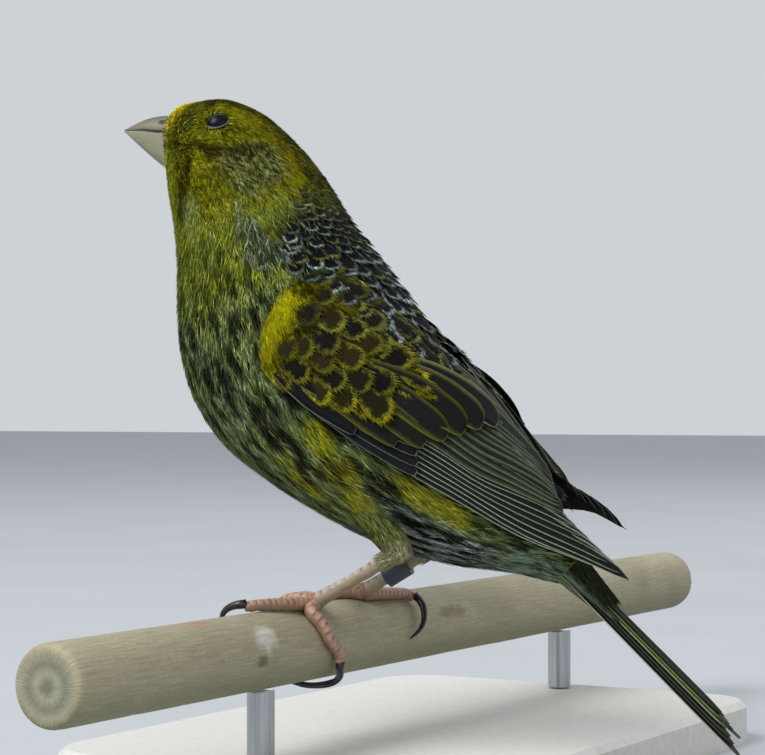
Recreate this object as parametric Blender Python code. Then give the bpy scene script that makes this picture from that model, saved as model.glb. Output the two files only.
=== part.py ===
"""A life-size lizard canary gripping a cut length of wooden perch, held over a plain display stand.

The bird faces -X with its left side towards -Y and +Z up. The origin is on the underside of the
stand's base, right below the perch's axis between the feet. Sizes are in millimetres and angles in
degrees; build_object turns millimetres into metres.
"""

import math

import bpy
import numpy as np

METRES_PER_MM = 0.001
GAP = 0.3

# Stand and perch
BASE_LENGTH = 112.0
BASE_WIDTH = 72.0
BASE_THICKNESS = 7.0
BASE_CORNER_RADIUS = 10.0
BASE_CORNER_STEPS = 5
BASE_CHAMFER = 1.0
TAIL_CLEARANCE = 2.0
TAIL_TIP_DROP = 14.0
PERCH_HEIGHT = BASE_THICKNESS + TAIL_CLEARANCE + TAIL_TIP_DROP
PERCH_RADIUS = 5.6
PERCH_NEAR_END = -67.0
PERCH_FAR_END = 129.0
PERCH_TURN = 10.0
PERCH_SIDES = 32
PERCH_CHAMFER = 0.6
PERCH_MIDDLE = (PERCH_NEAR_END + PERCH_FAR_END) / 2
ROD_SPREAD = 49.0
ROD_RADIUS = 2.0
ROD_SIDES = 20

# Body sections from the crown down to the tail's root, in the bird's own frame, whose origin is on
# the perch's axis: back point x z, belly point x z, half width, turn of the head to the bird's left
BODY_SECTIONS = (
    (-16.4, 81.5, -19.4, 81.5, 2.0, 12.0),
    (-13.2, 80.4, -23.1, 80.5, 6.2, 12.0),
    (-10.1, 78.8, -24.8, 78.3, 8.2, 12.0),
    (-7.7, 76.8, -25.1, 75.2, 9.2, 12.0),
    (-5.5, 74.7, -25.2, 71.7, 9.6, 11.0),
    (-3.1, 72.1, -25.2, 67.9, 10.0, 8.0),
    (0.1, 67.8, -24.3, 62.8, 11.2, 3.0),
    (3.4, 62.8, -23.4, 56.7, 13.1, 0.0),
    (7.7, 57.5, -23.1, 50.0, 15.0, 0.0),
    (12.4, 51.6, -22.5, 42.7, 16.3, 0.0),
    (16.8, 45.3, -20.3, 35.5, 16.7, 0.0),
    (20.6, 38.8, -15.6, 28.9, 16.3, 0.0),
    (24.6, 32.9, -8.4, 23.4, 15.0, 0.0),
    (28.1, 27.3, 0.1, 18.5, 13.1, 0.0),
    (31.3, 22.8, 9.8, 14.1, 10.8, 0.0),
    (34.2, 19.2, 19.9, 11.6, 8.3, 0.0),
    (37.2, 15.9, 29.3, 10.6, 5.9, 0.0),
    (39.8, 13.3, 36.2, 9.2, 4.0, 0.0),
)
HEAD_AXIS_X = -14.4
HEAD_TURN = 12.0
HEAD_CUT = 5.0
NECK_CUT = 7.0
RUMP_CUT = 14.0
BODY_END = 17.0
BODY_SIDES = 28
RINGS_PER_SECTION = 2

# Eyes and lids, on the head at a section number and an angle round it
EYE_PLACE = 2.6
EYE_ANGLE = 82.0
EYE_RADIUS = 2.1
EYE_DEPTH = 2.3
EYE_SIDES = 16
LID_RADIUS = 2.9
LID_OPENING_LENGTH = 3.3
LID_OPENING_HEIGHT = 2.1
LID_TILT = 20.0

# Bill, in the head's frame before it turns
BILL_TIP = (-32.2, 76.8)
BILL_BASE_X = -22.6
CULMEN_HEIGHT = 78.7
CULMEN_BULGE = 1.0
GAPE_HEIGHT = 76.4
CHIN_HEIGHT = 68.8
CHIN_BULGE = 0.4
BILL_HALF_WIDTH = 3.7
BILL_RINGS = 8
BILL_ARC_POINTS = 9
NOSTRIL_RADIUS = 0.5
NOSTRIL_PLACE = (-26.0, 2.4, 77.9)

# Wings: front and back edges of the folded left wing's sheet, from the bend to the tip, the
# bulge of the sheet between them, and how far the right wing is carried higher at its tip
WING_FRONT_EDGE = (
    (-7.5, -13.4, 46.6),
    (-1.7, -15.8, 38.6),
    (10.3, -16.2, 30.3),
    (21.1, -14.6, 23.6),
    (31.9, -10.8, 17.1),
    (41.2, -7.0, 13.0),
    (47.4, -4.6, 9.8),
)
WING_BACK_EDGE = (
    (0.6, -9.6, 56.6),
    (7.6, -8.4, 52.8),
    (15.6, -6.8, 45.8),
    (23.8, -5.0, 37.8),
    (31.4, -4.4, 29.0),
    (38.2, -3.4, 19.8),
    (45.4, -2.8, 12.7),
)
WING_BULGE = (1.4, 3.6, 4.8, 4.6, 2.8, 1.2, 0.3)
WING_END = 6.0
RIGHT_WING_LIFT = 6.5
RIGHT_WING_LIFT_START = 3.0
RIGHT_WING_FORWARD = 1.7
RIGHT_WING_SHORT = 1.1

# Wing feathers, tier by tier: how many, where the frontmost and the hindmost have root and tip on
# the sheet (place along it, share of the way from its front edge to its back edge), half width,
# height of root and tip over the sheet, how much each lies over the next, and rings along it
WING_TIERS = {
    "primary": (7, (1.3, 0.06), (2.0, 0.42), (6.0, 0.06), (4.95, 0.62), 2.6, (0.3, 0.3), 0.8, 5),
    "secondary": (5, (1.9, 0.42), (2.3, 0.78), (4.85, 0.66), (4.7, 0.9), 2.9, (0.7, 0.9), 0.8, 5),
    "tertial": (3, (2.1, 0.68), (2.3, 0.84), (4.5, 0.8), (3.8, 0.9), 3.3, (1.1, 1.5), 0.7, 4),
    "greater_covert": (7, (1.2, 0.16), (2.1, 0.88), (2.7, 0.24), (3.55, 0.84), 2.7, (1.2, 1.7), 0.8, 4),
    "primary_covert": (3, (0.7, 0.05), (0.8, 0.16), (2.15, 0.02), (2.3, 0.18), 2.2, (0.9, 1.0), 0.7, 4),
    "median_covert": (6, (0.75, 0.22), (1.5, 0.9), (1.55, 0.24), (2.4, 0.88), 2.9, (1.6, 2.3), 0.8, 4),
}
VANE_SHARES = {4: (0.0, 0.45, 0.85, 1.0), 5: (0.0, 0.35, 0.72, 0.91, 1.0)}
VANE_THICKNESS = ((0.0, 1.9), (0.45, 1.5), (0.72, 1.0), (0.87, 0.65), (1.0, 0.35))
VANE_WIDTHS = ((0.0, 0.7), (0.3, 0.95), (0.72, 1.0), (0.9, 0.8), (1.0, 0.3))
VANE_CROWN = 0.12
TIP_VARIATION = 0.08
CORE_PLACES = (0.05, 3.9)
CORE_SHARES = (0.06, 0.95)
CORE_HEIGHT = 1.8
CORE_DEPTH = 3.4
CORE_EDGE = 0.3
CORE_STEPS = (10, 6)
WING_CLEARANCE = 0.32
WING_SEEDS = {"left": 11, "right": 12}

# Tail: half the feathers on each side, spread a little, the outer ones longer and lower
TAIL_FEATHERS = 12
TAIL_LENGTH = 35.2
TAIL_FORK = 6.5
TAIL_TIP = (63.4, -12.7)
TAIL_ROOT_SPACING = 0.5
TAIL_TIP_SPACING = 0.75
TAIL_LAYER = 0.3
TAIL_HALF_WIDTH = 2.2
TAIL_VANE_THICKNESS = ((0.0, 0.6), (0.85, 0.6), (1.0, 0.35))
TAIL_COVERT_LENGTH = 11.0
TAIL_COVERT_HALF_WIDTH = 2.6
TAIL_COVERT_HALF_HEIGHT = 1.2

# Legs: heel of each leg, and each toe's centre line as distance along the perch and angle round it
LEG_PARTS = {
    "left": {
        "thigh": ((8.6, -7.5, 22.0), (12.8, -8.8, 17.0), (14.9, -9.3, 13.9)),
        "hub": (-7.8, -26.0),
        "outer": ((-11.3, -20.0), (-15.3, -11.0), (-18.4, 0.0), (-20.2, 11.0)),
        "outer_claw": ((-20.6, 16.0), (-21.0, 37.0), (-20.4, 58.0)),
        "middle": ((-7.8, 5.0), (-7.4, 36.0), (-6.8, 66.0), (-6.0, 96.0)),
        "middle_claw": ((-5.8, 103.0), (-4.8, 135.0), (-2.8, 168.0), (0.4, 196.0)),
        "inner": ((-5.6, 0.0), (-3.8, 30.0), (-3.0, 58.0), (-2.6, 84.0)),
        "inner_claw": ((-2.5, 91.0), (-2.4, 116.0), (-2.2, 138.0)),
        "hallux": ((-11.0, -38.0), (-10.5, -60.0), (-9.4, -82.0), (-6.9, -100.0), (-6.6, -112.0)),
        "hallux_claw": ((-6.2, -119.0), (-4.6, -137.0), (-5.0, -158.0), (-8.2, -182.0)),
    },
    "right": {
        "thigh": ((8.6, 7.5, 22.0), (12.8, 7.8, 17.0), (14.9, 8.0, 13.9)),
        "hub": (7.5, -18.0),
        "outer": ((10.5, 5.0), (13.0, 30.0), (15.2, 55.0), (16.4, 80.0)),
        "outer_claw": ((16.7, 87.0), (17.4, 110.0), (17.2, 132.0)),
        "middle": ((8.0, 8.0), (8.4, 38.0), (8.8, 68.0), (9.2, 96.0)),
        "middle_claw": ((9.3, 103.0), (9.8, 130.0), (9.6, 154.0)),
        "inner": ((5.4, 4.0), (3.4, 32.0), (2.2, 60.0), (1.6, 84.0)),
        "inner_claw": ((1.5, 91.0), (1.2, 114.0), (1.4, 136.0)),
        "hallux": ((11.5, -23.0), (15.2, -27.0), (18.2, -31.0), (19.2, -40.0)),
        "hallux_claw": ((19.4, -47.0), (18.6, -64.0), (17.2, -84.0), (14.8, -100.0)),
    },
}
TOES = ("outer", "middle", "inner", "hallux")
THIGH_RADII = (3.7, 2.7, 1.8)
CUFF_RADIUS = 1.45
CUFF_LENGTH = 2.4
TARSUS_RADII = (1.15, 0.85, 0.85, 1.2)
HUB_RADIUS = 1.25
TOE_RADIUS = 0.95
TOE_TIP_RADIUS = 0.72
CLAW_RADIUS = 0.52
CLAW_TIP_RADIUS = 0.14
CLAW_ARCH = 0.5
LEG_SIDES = 10
TOE_SIDES = 8
CLAW_SIDES = 6
TOE_STEPS = 9
CLAW_STEPS = 7

# Plain leg ring on the right leg
RING_PLACE = 0.42
RING_HEIGHT = 4.0
RING_OUTER_RADIUS = 1.75
RING_SIDES = 20


def perch_direction():
    """Unit vector along the perch, from its near end to its far end."""
    turn = math.radians(PERCH_TURN)
    return np.array([math.sin(turn), math.cos(turn), 0.0])


def perch_front():
    """Unit vector level and square to the perch, towards the bird's front."""
    turn = math.radians(PERCH_TURN)
    return np.array([-math.cos(turn), math.sin(turn), 0.0])


UP = np.array([0.0, 0.0, 1.0])
TAILWARD = np.array([1.0, 0.0, 0.0])


def around_perch(along, angle, radius):
    """Point at a distance along the perch and an angle round it from its top towards the bird's front."""
    turn = math.radians(angle)
    return perch_direction() * along + radius * (math.cos(turn) * UP + math.sin(turn) * perch_front())


def unit(vector):
    """The vector at length one."""
    vector = np.asarray(vector, float)
    return vector / np.linalg.norm(vector, axis=-1, keepdims=True)


def smooth_rows(rows, places):
    """Catmull-Rom curve through rows, read at fractional row numbers."""
    rows = np.asarray(rows, float)
    padded = np.vstack([2 * rows[0] - rows[1], rows, 2 * rows[-1] - rows[-2]])
    places = np.clip(np.atleast_1d(places), 0, len(rows) - 1)
    first = np.minimum(places.astype(int), len(rows) - 2)
    t = (places - first)[:, None]
    a, b, c, d = (padded[first + k] for k in range(4))
    return 0.5 * (2 * b + (c - a) * t + (2 * a - 5 * b + 4 * c - d) * t**2 + (3 * b - a - 3 * c + d) * t**3)


def turn_about_z(points, degrees, centre_x=0.0):
    """Points turned about the upright axis through centre_x; degrees may hold one value for each point."""
    angle = np.radians(degrees)
    x = points[..., 0] - centre_x
    y = points[..., 1]
    turned = points.copy()
    turned[..., 0] = centre_x + x * np.cos(angle) - y * np.sin(angle)
    turned[..., 1] = x * np.sin(angle) + y * np.cos(angle)
    return turned


def body_points(place, angle, grow=0.0):
    """Points on the body at section numbers and angles round it: 0 is the back and 90 the left side."""
    back_x, back_z, belly_x, belly_z, half_width, turn = smooth_rows(BODY_SECTIONS, place).T
    radians = np.radians(angle)
    half = np.stack([(back_x - belly_x) / 2, (back_z - belly_z) / 2], 1)
    length = np.linalg.norm(half, axis=1)
    half = half * ((length + grow) / length)[:, None]
    x = (back_x + belly_x) / 2 + half[:, 0] * np.cos(radians)
    z = (back_z + belly_z) / 2 + half[:, 1] * np.cos(radians)
    y = -(half_width + grow) * np.sin(radians)
    return turn_about_z(np.stack([x, y, z], 1), turn, HEAD_AXIS_X)


def body_ring(place, grow=0.0, shift=0.0):
    """One closed ring of points round the body, moved by shift along its own normal towards the tail."""
    angles = np.arange(BODY_SIDES) * 360.0 / BODY_SIDES
    ring = body_points(np.full(BODY_SIDES, float(place)), angles, grow)
    if shift:
        normal = unit(np.cross(ring[BODY_SIDES // 4] - ring[0], ring[BODY_SIDES // 2] - ring[0]))
        if normal @ (body_points([place + 0.1], [90.0])[0] - body_points([place], [90.0])[0]) < 0:
            normal = -normal
        ring = ring + normal * shift
    return ring


def loft(rings, start_point=None, end_point=None):
    """Vertices and faces of a tube through rings, closed at each end by a flat face or a point."""
    count = len(rings[0])
    vertices = np.vstack(rings)
    faces = []
    for k in range(len(rings) - 1):
        for j in range(count):
            a = k * count + j
            b = k * count + (j + 1) % count
            faces.append((a, b, b + count, a + count))
    last = (len(rings) - 1) * count
    if start_point is None:
        faces.append(tuple(reversed(range(count))))
    else:
        faces += [((j + 1) % count, j, len(vertices)) for j in range(count)]
        vertices = np.vstack([vertices, start_point])
    if end_point is None:
        faces.append(tuple(range(last, last + count)))
    else:
        faces += [(last + j, last + (j + 1) % count, len(vertices)) for j in range(count)]
        vertices = np.vstack([vertices, end_point])
    return vertices, faces


def material(name, colour, roughness):
    """A plain Principled material."""
    made = bpy.data.materials.new(name)
    made.use_nodes = True
    shader = made.node_tree.nodes["Principled BSDF"]
    shader.inputs["Base Color"].default_value = (*colour, 1.0)
    shader.inputs["Roughness"].default_value = roughness
    return made


def build_object(name, shape, finish, lift=PERCH_HEIGHT):
    """An object of this shape, given in millimetres from the perch's axis, with its faces facing out."""
    vertices, faces = shape
    mesh = bpy.data.meshes.new(name)
    raised = (np.asarray(vertices, float) + np.array([0.0, 0.0, lift])) * METRES_PER_MM
    mesh.from_pydata(raised.tolist(), [], [tuple(int(i) for i in face) for face in faces])
    mesh.validate()
    made = bpy.data.objects.new(name, mesh)
    bpy.context.scene.collection.objects.link(made)
    if signed_volume(mesh) < 0:
        mesh.flip_normals()
    if finish is not None:
        mesh.materials.append(finish)
    mesh.shade_smooth()
    mesh.set_sharp_from_angle(angle=math.radians(40.0))
    return made


def signed_volume(mesh):
    """Six times the volume inside the mesh, below zero where its faces point inwards."""
    mesh.calc_loop_triangles()
    points = np.empty(len(mesh.vertices) * 3, np.float32)
    mesh.vertices.foreach_get("co", points)
    points = points.reshape(-1, 3).astype(float)
    corners = np.empty(len(mesh.loop_triangles) * 3, np.int32)
    mesh.loop_triangles.foreach_get("vertices", corners)
    a, b, c = (points[corners.reshape(-1, 3)[:, k]] for k in range(3))
    return float(np.einsum("ij,ij->i", a, np.cross(b, c)).sum())


def boolean(target, others, operation, solver="EXACT"):
    """Applies one Boolean of a collection of objects to target, and removes those objects."""
    group = bpy.data.collections.new(target.name + "_pieces")
    for other in others:
        group.objects.link(other)
    step = target.modifiers.new("join", "BOOLEAN")
    step.operation = operation
    step.solver = solver
    step.operand_type = "COLLECTION"
    step.collection = group
    bpy.context.view_layer.update()
    evaluated = target.evaluated_get(bpy.context.evaluated_depsgraph_get())
    result = bpy.data.meshes.new_from_object(evaluated)
    target.modifiers.clear()
    old = target.data
    target.data = result
    bpy.data.meshes.remove(old)
    for other in others:
        bpy.data.meshes.remove(other.data)
    bpy.data.collections.remove(group)
    return target


def keep_largest(target):
    """Keeps only the closed surface of the mesh that holds the largest volume."""
    mesh = target.data
    parent = list(range(len(mesh.vertices)))

    def root(i):
        while parent[i] != i:
            parent[i] = parent[parent[i]]
            i = parent[i]
        return i

    for edge in mesh.edges:
        a, b = (root(i) for i in edge.vertices)
        parent[a] = b
    groups = {}
    for face in mesh.polygons:
        groups.setdefault(root(face.vertices[0]), []).append(face.index)
    if len(groups) < 2:
        return target
    points = np.array([v.co for v in mesh.vertices])

    def volume(indices):
        total = 0.0
        for index in indices:
            corners = points[list(mesh.polygons[index].vertices)]
            for k in range(1, len(corners) - 1):
                total += corners[0] @ np.cross(corners[k], corners[k + 1])
        return abs(total)

    largest = max(groups.values(), key=volume)
    used = sorted({i for index in largest for i in mesh.polygons[index].vertices})
    renumber = {old: new for new, old in enumerate(used)}
    faces = [[renumber[i] for i in mesh.polygons[index].vertices] for index in largest]
    kept = bpy.data.meshes.new(mesh.name)
    kept.from_pydata(points[used].tolist(), [], faces)
    for finish in mesh.materials:
        kept.materials.append(finish)
    target.data = kept
    bpy.data.meshes.remove(mesh)
    return target


def tube(path, radii, sides):
    """Vertices and faces of a round tube along path, with its own radius at each point."""
    path = np.asarray(path, float)
    along = unit(np.gradient(path, axis=0))
    side = np.cross(along[0], UP if abs(along[0] @ UP) < 0.9 else np.array([1.0, 0.0, 0.0]))
    rings = []
    for centre, direction, radius in zip(path, along, radii):
        side = unit(side - direction * (side @ direction))
        other = np.cross(direction, side)
        angles = np.arange(sides) * 2 * math.pi / sides
        rings.append(centre + radius * (np.outer(np.cos(angles), side) + np.outer(np.sin(angles), other)))
    return loft(rings)


def clear_scene():
    """Removes whatever the scene holds."""
    for item in list(bpy.data.objects):
        bpy.data.objects.remove(item)


def body_shape(start, end, grow=0.0, start_shift=0.0, end_shift=0.0):
    """The body between two section numbers; section 0 closes in the crown."""
    count = int(round((end - start) * RINGS_PER_SECTION)) + 1
    places = np.linspace(start, end, count)
    shifts = np.zeros(count)
    shifts[0] = start_shift
    shifts[-1] = end_shift
    rings = [body_ring(place, grow, shift) for place, shift in zip(places, shifts)]
    crown = None
    if start == 0:
        crown = rings[0].mean(axis=0) + UP * (0.35 + grow)
    return loft(rings, start_point=crown)


def body_cutter(clearance=GAP):
    """The whole body grown by the clearance that its neighbours keep."""
    return build_object("body_cutter", body_shape(0, BODY_END, grow=clearance), None)


def surface_frame(place, angle):
    """A point on the body, its outward normal, and unit vectors forward and up in the surface."""
    point = body_points([place], [angle])[0]
    down = body_points([place + 0.05], [angle])[0] - body_points([place - 0.05], [angle])[0]
    round_body = body_points([place], [angle + 1.0])[0] - body_points([place], [angle - 1.0])[0]
    normal = unit(np.cross(round_body, down))
    middle = body_points([place], [0.0])[0] / 2 + body_points([place], [180.0])[0] / 2
    if normal @ (point - middle) < 0:
        normal = -normal
    facing = turn_about_z(np.array([-1.0, 0.0, 0.0]), HEAD_TURN)
    forward = unit(facing - normal * (facing @ normal))
    upward = np.cross(forward, normal)
    if upward[2] < 0:
        upward = -upward
    return point, normal, forward, upward


def ball(centre, radius, sides):
    """Vertices and faces of a round ball."""
    rings = []
    for k in range(1, sides // 2):
        tilt = math.pi * k / (sides // 2)
        angles = np.arange(sides) * 2 * math.pi / sides
        level = np.full(sides, math.cos(tilt))
        flat = math.sin(tilt)
        rings.append(centre + radius * np.stack([flat * np.cos(angles), flat * np.sin(angles), level], 1))
    return loft(rings, centre + radius * UP, centre - radius * UP)


def eye_centre(side):
    """Centre of the eyeball, with its frame on the head."""
    angle = EYE_ANGLE if side == "left" else 360.0 - EYE_ANGLE
    point, normal, forward, upward = surface_frame(EYE_PLACE, angle)
    return point - normal * EYE_DEPTH, normal, forward, upward


def lid_opening(side):
    """An almond-shaped prism from the eyeball's middle outwards."""
    centre, normal, forward, upward = eye_centre(side)
    tilt = math.radians(LID_TILT)
    long_axis = -forward * math.cos(tilt) + upward * math.sin(tilt)
    short_axis = np.cross(long_axis, normal)
    outline = []
    steps = 12
    for k in range(steps):
        turn = 2 * math.pi * k / steps
        outline.append(
            long_axis * LID_OPENING_LENGTH / 2 * math.cos(turn)
            + short_axis * LID_OPENING_HEIGHT / 2 * math.sin(turn) * abs(math.sin(turn)) ** 0.3
        )
    outline = np.array(outline)
    return loft([centre + outline * 0.9, centre + outline * 1.02 + normal * 2 * LID_RADIUS])


def add_head(finish):
    """The head with its lids round the eyes and a hollow for each eyeball."""
    head = build_object("head", body_shape(0, HEAD_CUT, end_shift=-GAP / 2), finish)
    lids = []
    hollows = []
    openings = []
    for side in ("left", "right"):
        centre = eye_centre(side)[0]
        lids.append(build_object("lid", ball(centre, LID_RADIUS, EYE_SIDES), None))
        hollows.append(build_object("hollow", ball(centre, EYE_RADIUS + GAP, EYE_SIDES), None))
        openings.append(build_object("opening", lid_opening(side), None))
    boolean(head, lids, "UNION")
    boolean(head, hollows, "DIFFERENCE")
    boolean(head, openings, "DIFFERENCE")
    return keep_largest(head)


def bill_profile(share):
    """Culmen height, gape height, chin height, half width and x at a share of the way to the tip."""
    tip_x, tip_z = BILL_TIP
    x = BILL_BASE_X + (tip_x - BILL_BASE_X) * share
    bow = math.sin(math.pi * share)
    culmen = CULMEN_HEIGHT + (tip_z - CULMEN_HEIGHT) * share + CULMEN_BULGE * bow
    gape = GAPE_HEIGHT + (tip_z - GAPE_HEIGHT) * share
    chin = CHIN_HEIGHT + (tip_z - CHIN_HEIGHT) * share - CHIN_BULGE * bow
    half_width = BILL_HALF_WIDTH * (1 - share) ** 0.75
    return x, culmen, gape, chin, half_width


def bill_half(upper):
    """One half of the bill: a dome over, or a keel under, the flat face along the gape."""
    rings = []
    for k in range(BILL_RINGS):
        share = 0.97 * k / (BILL_RINGS - 1)
        x, culmen, gape, chin, half_width = bill_profile(share)
        edge = gape if upper else gape - GAP
        reach = max(culmen - edge, 0.18) if upper else min(chin - edge, -0.18)
        angles = np.linspace(0, math.pi, BILL_ARC_POINTS)
        y = half_width * np.cos(angles)
        z = edge + reach * np.sin(angles) ** 0.9
        rings.append(np.stack([np.full(len(y), x), y, z], 1))
    rings = [turn_about_z(ring, HEAD_TURN, HEAD_AXIS_X) for ring in rings]
    return loft(rings)


def add_bill(finish):
    """Upper and lower bill, cut clear of the head, with a nostril on each side of the upper one."""
    upper = build_object("upper_bill", bill_half(True), finish)
    lower = build_object("lower_bill", bill_half(False), finish)
    boolean(upper, [body_cutter()], "DIFFERENCE")
    boolean(lower, [body_cutter()], "DIFFERENCE")
    nostrils = []
    for sign in (-1, 1):
        x, y, z = NOSTRIL_PLACE
        place = turn_about_z(np.array([x, sign * y, z]), HEAD_TURN, HEAD_AXIS_X)
        nostrils.append(build_object("nostril", ball(place, NOSTRIL_RADIUS, 8), None))
    boolean(upper, nostrils, "DIFFERENCE")
    keep_largest(upper)
    keep_largest(lower)


def wing_sheet(place, share, side):
    """Point and outward normal on the folded wing's sheet at a place along it and a share across it."""
    def outward(p):
        across = smooth_rows(WING_BACK_EDGE, p)[0] - smooth_rows(WING_FRONT_EDGE, p)[0]
        along = smooth_rows(WING_FRONT_EDGE, min(p + 0.5, WING_END))[0]
        along = along - smooth_rows(WING_FRONT_EDGE, max(p - 0.5, 0.0))[0]
        found = unit(np.cross(across, along))
        return found if found[1] < 0 else -found

    def point(p, q):
        front = smooth_rows(WING_FRONT_EDGE, p)[0]
        back = smooth_rows(WING_BACK_EDGE, p)[0]
        bulge = smooth_rows(np.array(WING_BULGE)[:, None], p)[0, 0]
        return front + (back - front) * q + outward(p) * bulge * 4 * q * (1 - q)

    step = 0.02
    here = point(place, share)
    along = point(min(place + step, WING_END), share) - point(max(place - step, 0.0), share)
    across = point(place, share + step) - point(place, share - step)
    normal = unit(np.cross(across, along))
    if normal @ outward(place) < 0:
        normal = -normal
    if side == "right":
        here = here * np.array([1.0, -1.0, 1.0])
        normal = normal * np.array([1.0, -1.0, 1.0])
        carried = max(place - RIGHT_WING_LIFT_START, 0.0) / (WING_END - RIGHT_WING_LIFT_START)
        here = here - TAILWARD * (RIGHT_WING_FORWARD + RIGHT_WING_SHORT * place / WING_END)
        here = here + UP * RIGHT_WING_LIFT * (1 - share) * carried**1.5
    return here, normal


def slab(top, bottom):
    """A closed slab between two grids of points, with both faces split into triangles alike."""
    rows, columns = top.shape[:2]
    count = rows * columns
    vertices = np.vstack([top.reshape(-1, 3), bottom.reshape(-1, 3)])
    faces = []
    for i in range(rows - 1):
        for j in range(columns - 1):
            a = i * columns + j
            b = a + 1
            c = b + columns
            d = a + columns
            for first, second, third in ((a, b, c), (a, c, d)):
                faces.append((first, second, third))
                faces.append((third + count, second + count, first + count))
    rim = list(range(columns))
    rim += [i * columns + columns - 1 for i in range(1, rows)]
    rim += [(rows - 1) * columns + j for j in range(columns - 2, -1, -1)]
    rim += [i * columns for i in range(rows - 2, 0, -1)]
    for k in range(len(rim)):
        a = rim[k]
        b = rim[(k + 1) % len(rim)]
        faces.append((b, a, a + count))
        faces.append((b, a + count, b + count))
    return vertices, faces


def vane(points, normals, half_width, overlap, front_sign, thickness):
    """One feather vane along points; its front edge is raised and its back edge sunk by half the overlap."""
    points = np.asarray(points, float)
    normals = np.asarray(normals, float)
    along = unit(np.gradient(points, axis=0))
    to_front = unit(np.cross(normals, along)) * front_sign
    shares = VANE_SHARES[len(points)]
    widths = half_width * np.interp(shares, *zip(*VANE_WIDTHS))
    thick = np.interp(shares, *zip(*thickness))
    front = points + to_front * widths[:, None] + normals * overlap / 2
    back = points - to_front * widths[:, None] - normals * overlap / 2
    middle = (front + back) / 2 + normals * VANE_CROWN
    top = np.stack([front, middle, back], 1)
    bottom = top - (normals * thick[:, None])[:, None, :]
    return slab(top, bottom)


def tier_shapes(name, side, rng):
    """The vanes of one tier of a wing."""
    count, root_front, root_back, tip_front, tip_back, half_width, heights, overlap, rings = WING_TIERS[name]
    shapes = []
    for k in range(count):
        across = k / (count - 1)
        root = np.array(root_front) * (1 - across) + np.array(root_back) * across
        tip = np.array(tip_front) * (1 - across) + np.array(tip_back) * across
        tip[0] -= rng.uniform(0.0, TIP_VARIATION)
        points = []
        normals = []
        for share in VANE_SHARES[rings]:
            place, sheet_share = root * (1 - share) + tip * share
            point, normal = wing_sheet(place, sheet_share, side)
            height = heights[0] * (1 - share) + heights[1] * share + 0.05 * (k % 2)
            points.append(point + normal * height)
            normals.append(normal)
        sign = 1.0 if side == "left" else -1.0
        width = half_width * rng.uniform(0.96, 1.04)
        shapes.append(vane(points, normals, width, overlap, sign, VANE_THICKNESS))
    return shapes


def wing_core(side):
    """The flesh and small coverts that the wing feathers are rooted in."""
    along_steps, across_steps = CORE_STEPS
    top = np.zeros((along_steps, across_steps, 3))
    bottom = np.zeros_like(top)
    for i, place in enumerate(np.linspace(*CORE_PLACES, along_steps)):
        for j, share in enumerate(np.linspace(*CORE_SHARES, across_steps)):
            point, normal = wing_sheet(place, share, side)
            end = math.sin(math.pi * (0.04 + 0.92 * i / (along_steps - 1))) ** 0.5
            edge = math.sin(math.pi * (0.06 + 0.88 * j / (across_steps - 1))) ** CORE_EDGE
            top[i, j] = point + normal * CORE_HEIGHT * end * edge
            bottom[i, j] = point - normal * CORE_DEPTH * end * edge
    return slab(top, bottom)


def add_wing(side, finish):
    """One folded wing: its core with every tier of feathers fused to it, cut clear of the body."""
    rng = np.random.default_rng(WING_SEEDS[side])
    wing = build_object(side + "_wing", wing_core(side), finish)
    vanes = []
    for name in WING_TIERS:
        vanes += [build_object("vane", shape, None) for shape in tier_shapes(name, side, rng)]
    boolean(wing, vanes, "UNION", "MANIFOLD")
    boolean(wing, [body_cutter(WING_CLEARANCE)], "DIFFERENCE", "MANIFOLD")
    return keep_largest(wing)


def add_tail(finish):
    """The tail coverts as a tapered root with twelve overlapping feathers fused to it."""
    last = BODY_SECTIONS[-1]
    root = np.array([(last[0] + last[2]) / 2, 0.0, (last[1] + last[3]) / 2])
    tip = np.array([TAIL_TIP[0], 0.0, TAIL_TIP[1]])
    along = unit(tip - root)
    upward = np.array([-along[2], 0.0, along[0]])
    sideways = np.array([0.0, 1.0, 0.0])
    first_ring = body_ring(BODY_END, shift=GAP)
    middle = first_ring.mean(axis=0)
    rings = []
    steps = 5
    for k in range(steps):
        share = k / (steps - 1)
        offsets = first_ring - middle
        across = offsets @ sideways * (1 + (TAIL_COVERT_HALF_WIDTH / last[4] - 1) * share)
        height = offsets @ upward
        height = height * (1 + (TAIL_COVERT_HALF_HEIGHT / np.abs(height).max() - 1) * share)
        centre = middle + along * TAIL_COVERT_LENGTH * share
        rings.append(centre + np.outer(across, sideways) + np.outer(height, upward))
    rings[0] = first_ring
    tail = build_object("tail", loft(rings), finish)
    rng = np.random.default_rng(7)
    vanes = []
    for k in range(TAIL_FEATHERS):
        offset = k - (TAIL_FEATHERS - 1) / 2
        spread = abs(offset) / ((TAIL_FEATHERS - 1) / 2)
        length = TAIL_LENGTH - TAIL_FORK * (1 - spread) ** 0.8 + rng.uniform(-0.4, 0.4)
        points = []
        for share in VANE_SHARES[5]:
            run = 3.0 + (length - 3.0) * share
            across = offset * (TAIL_ROOT_SPACING * (1 - share) + TAIL_TIP_SPACING * share)
            height = 0.9 - abs(offset) * TAIL_LAYER + 0.04 * (k % 2)
            points.append(root + along * run + sideways * across + upward * height)
        tilt = unit(upward + sideways * 0.10 * offset / 5)
        normals = np.tile(tilt, (5, 1))
        vanes.append(build_object("vane", vane(points, normals, TAIL_HALF_WIDTH, 0.0, 1.0, TAIL_VANE_THICKNESS), None))
    boolean(tail, vanes, "UNION", "MANIFOLD")
    return keep_largest(tail)


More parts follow.
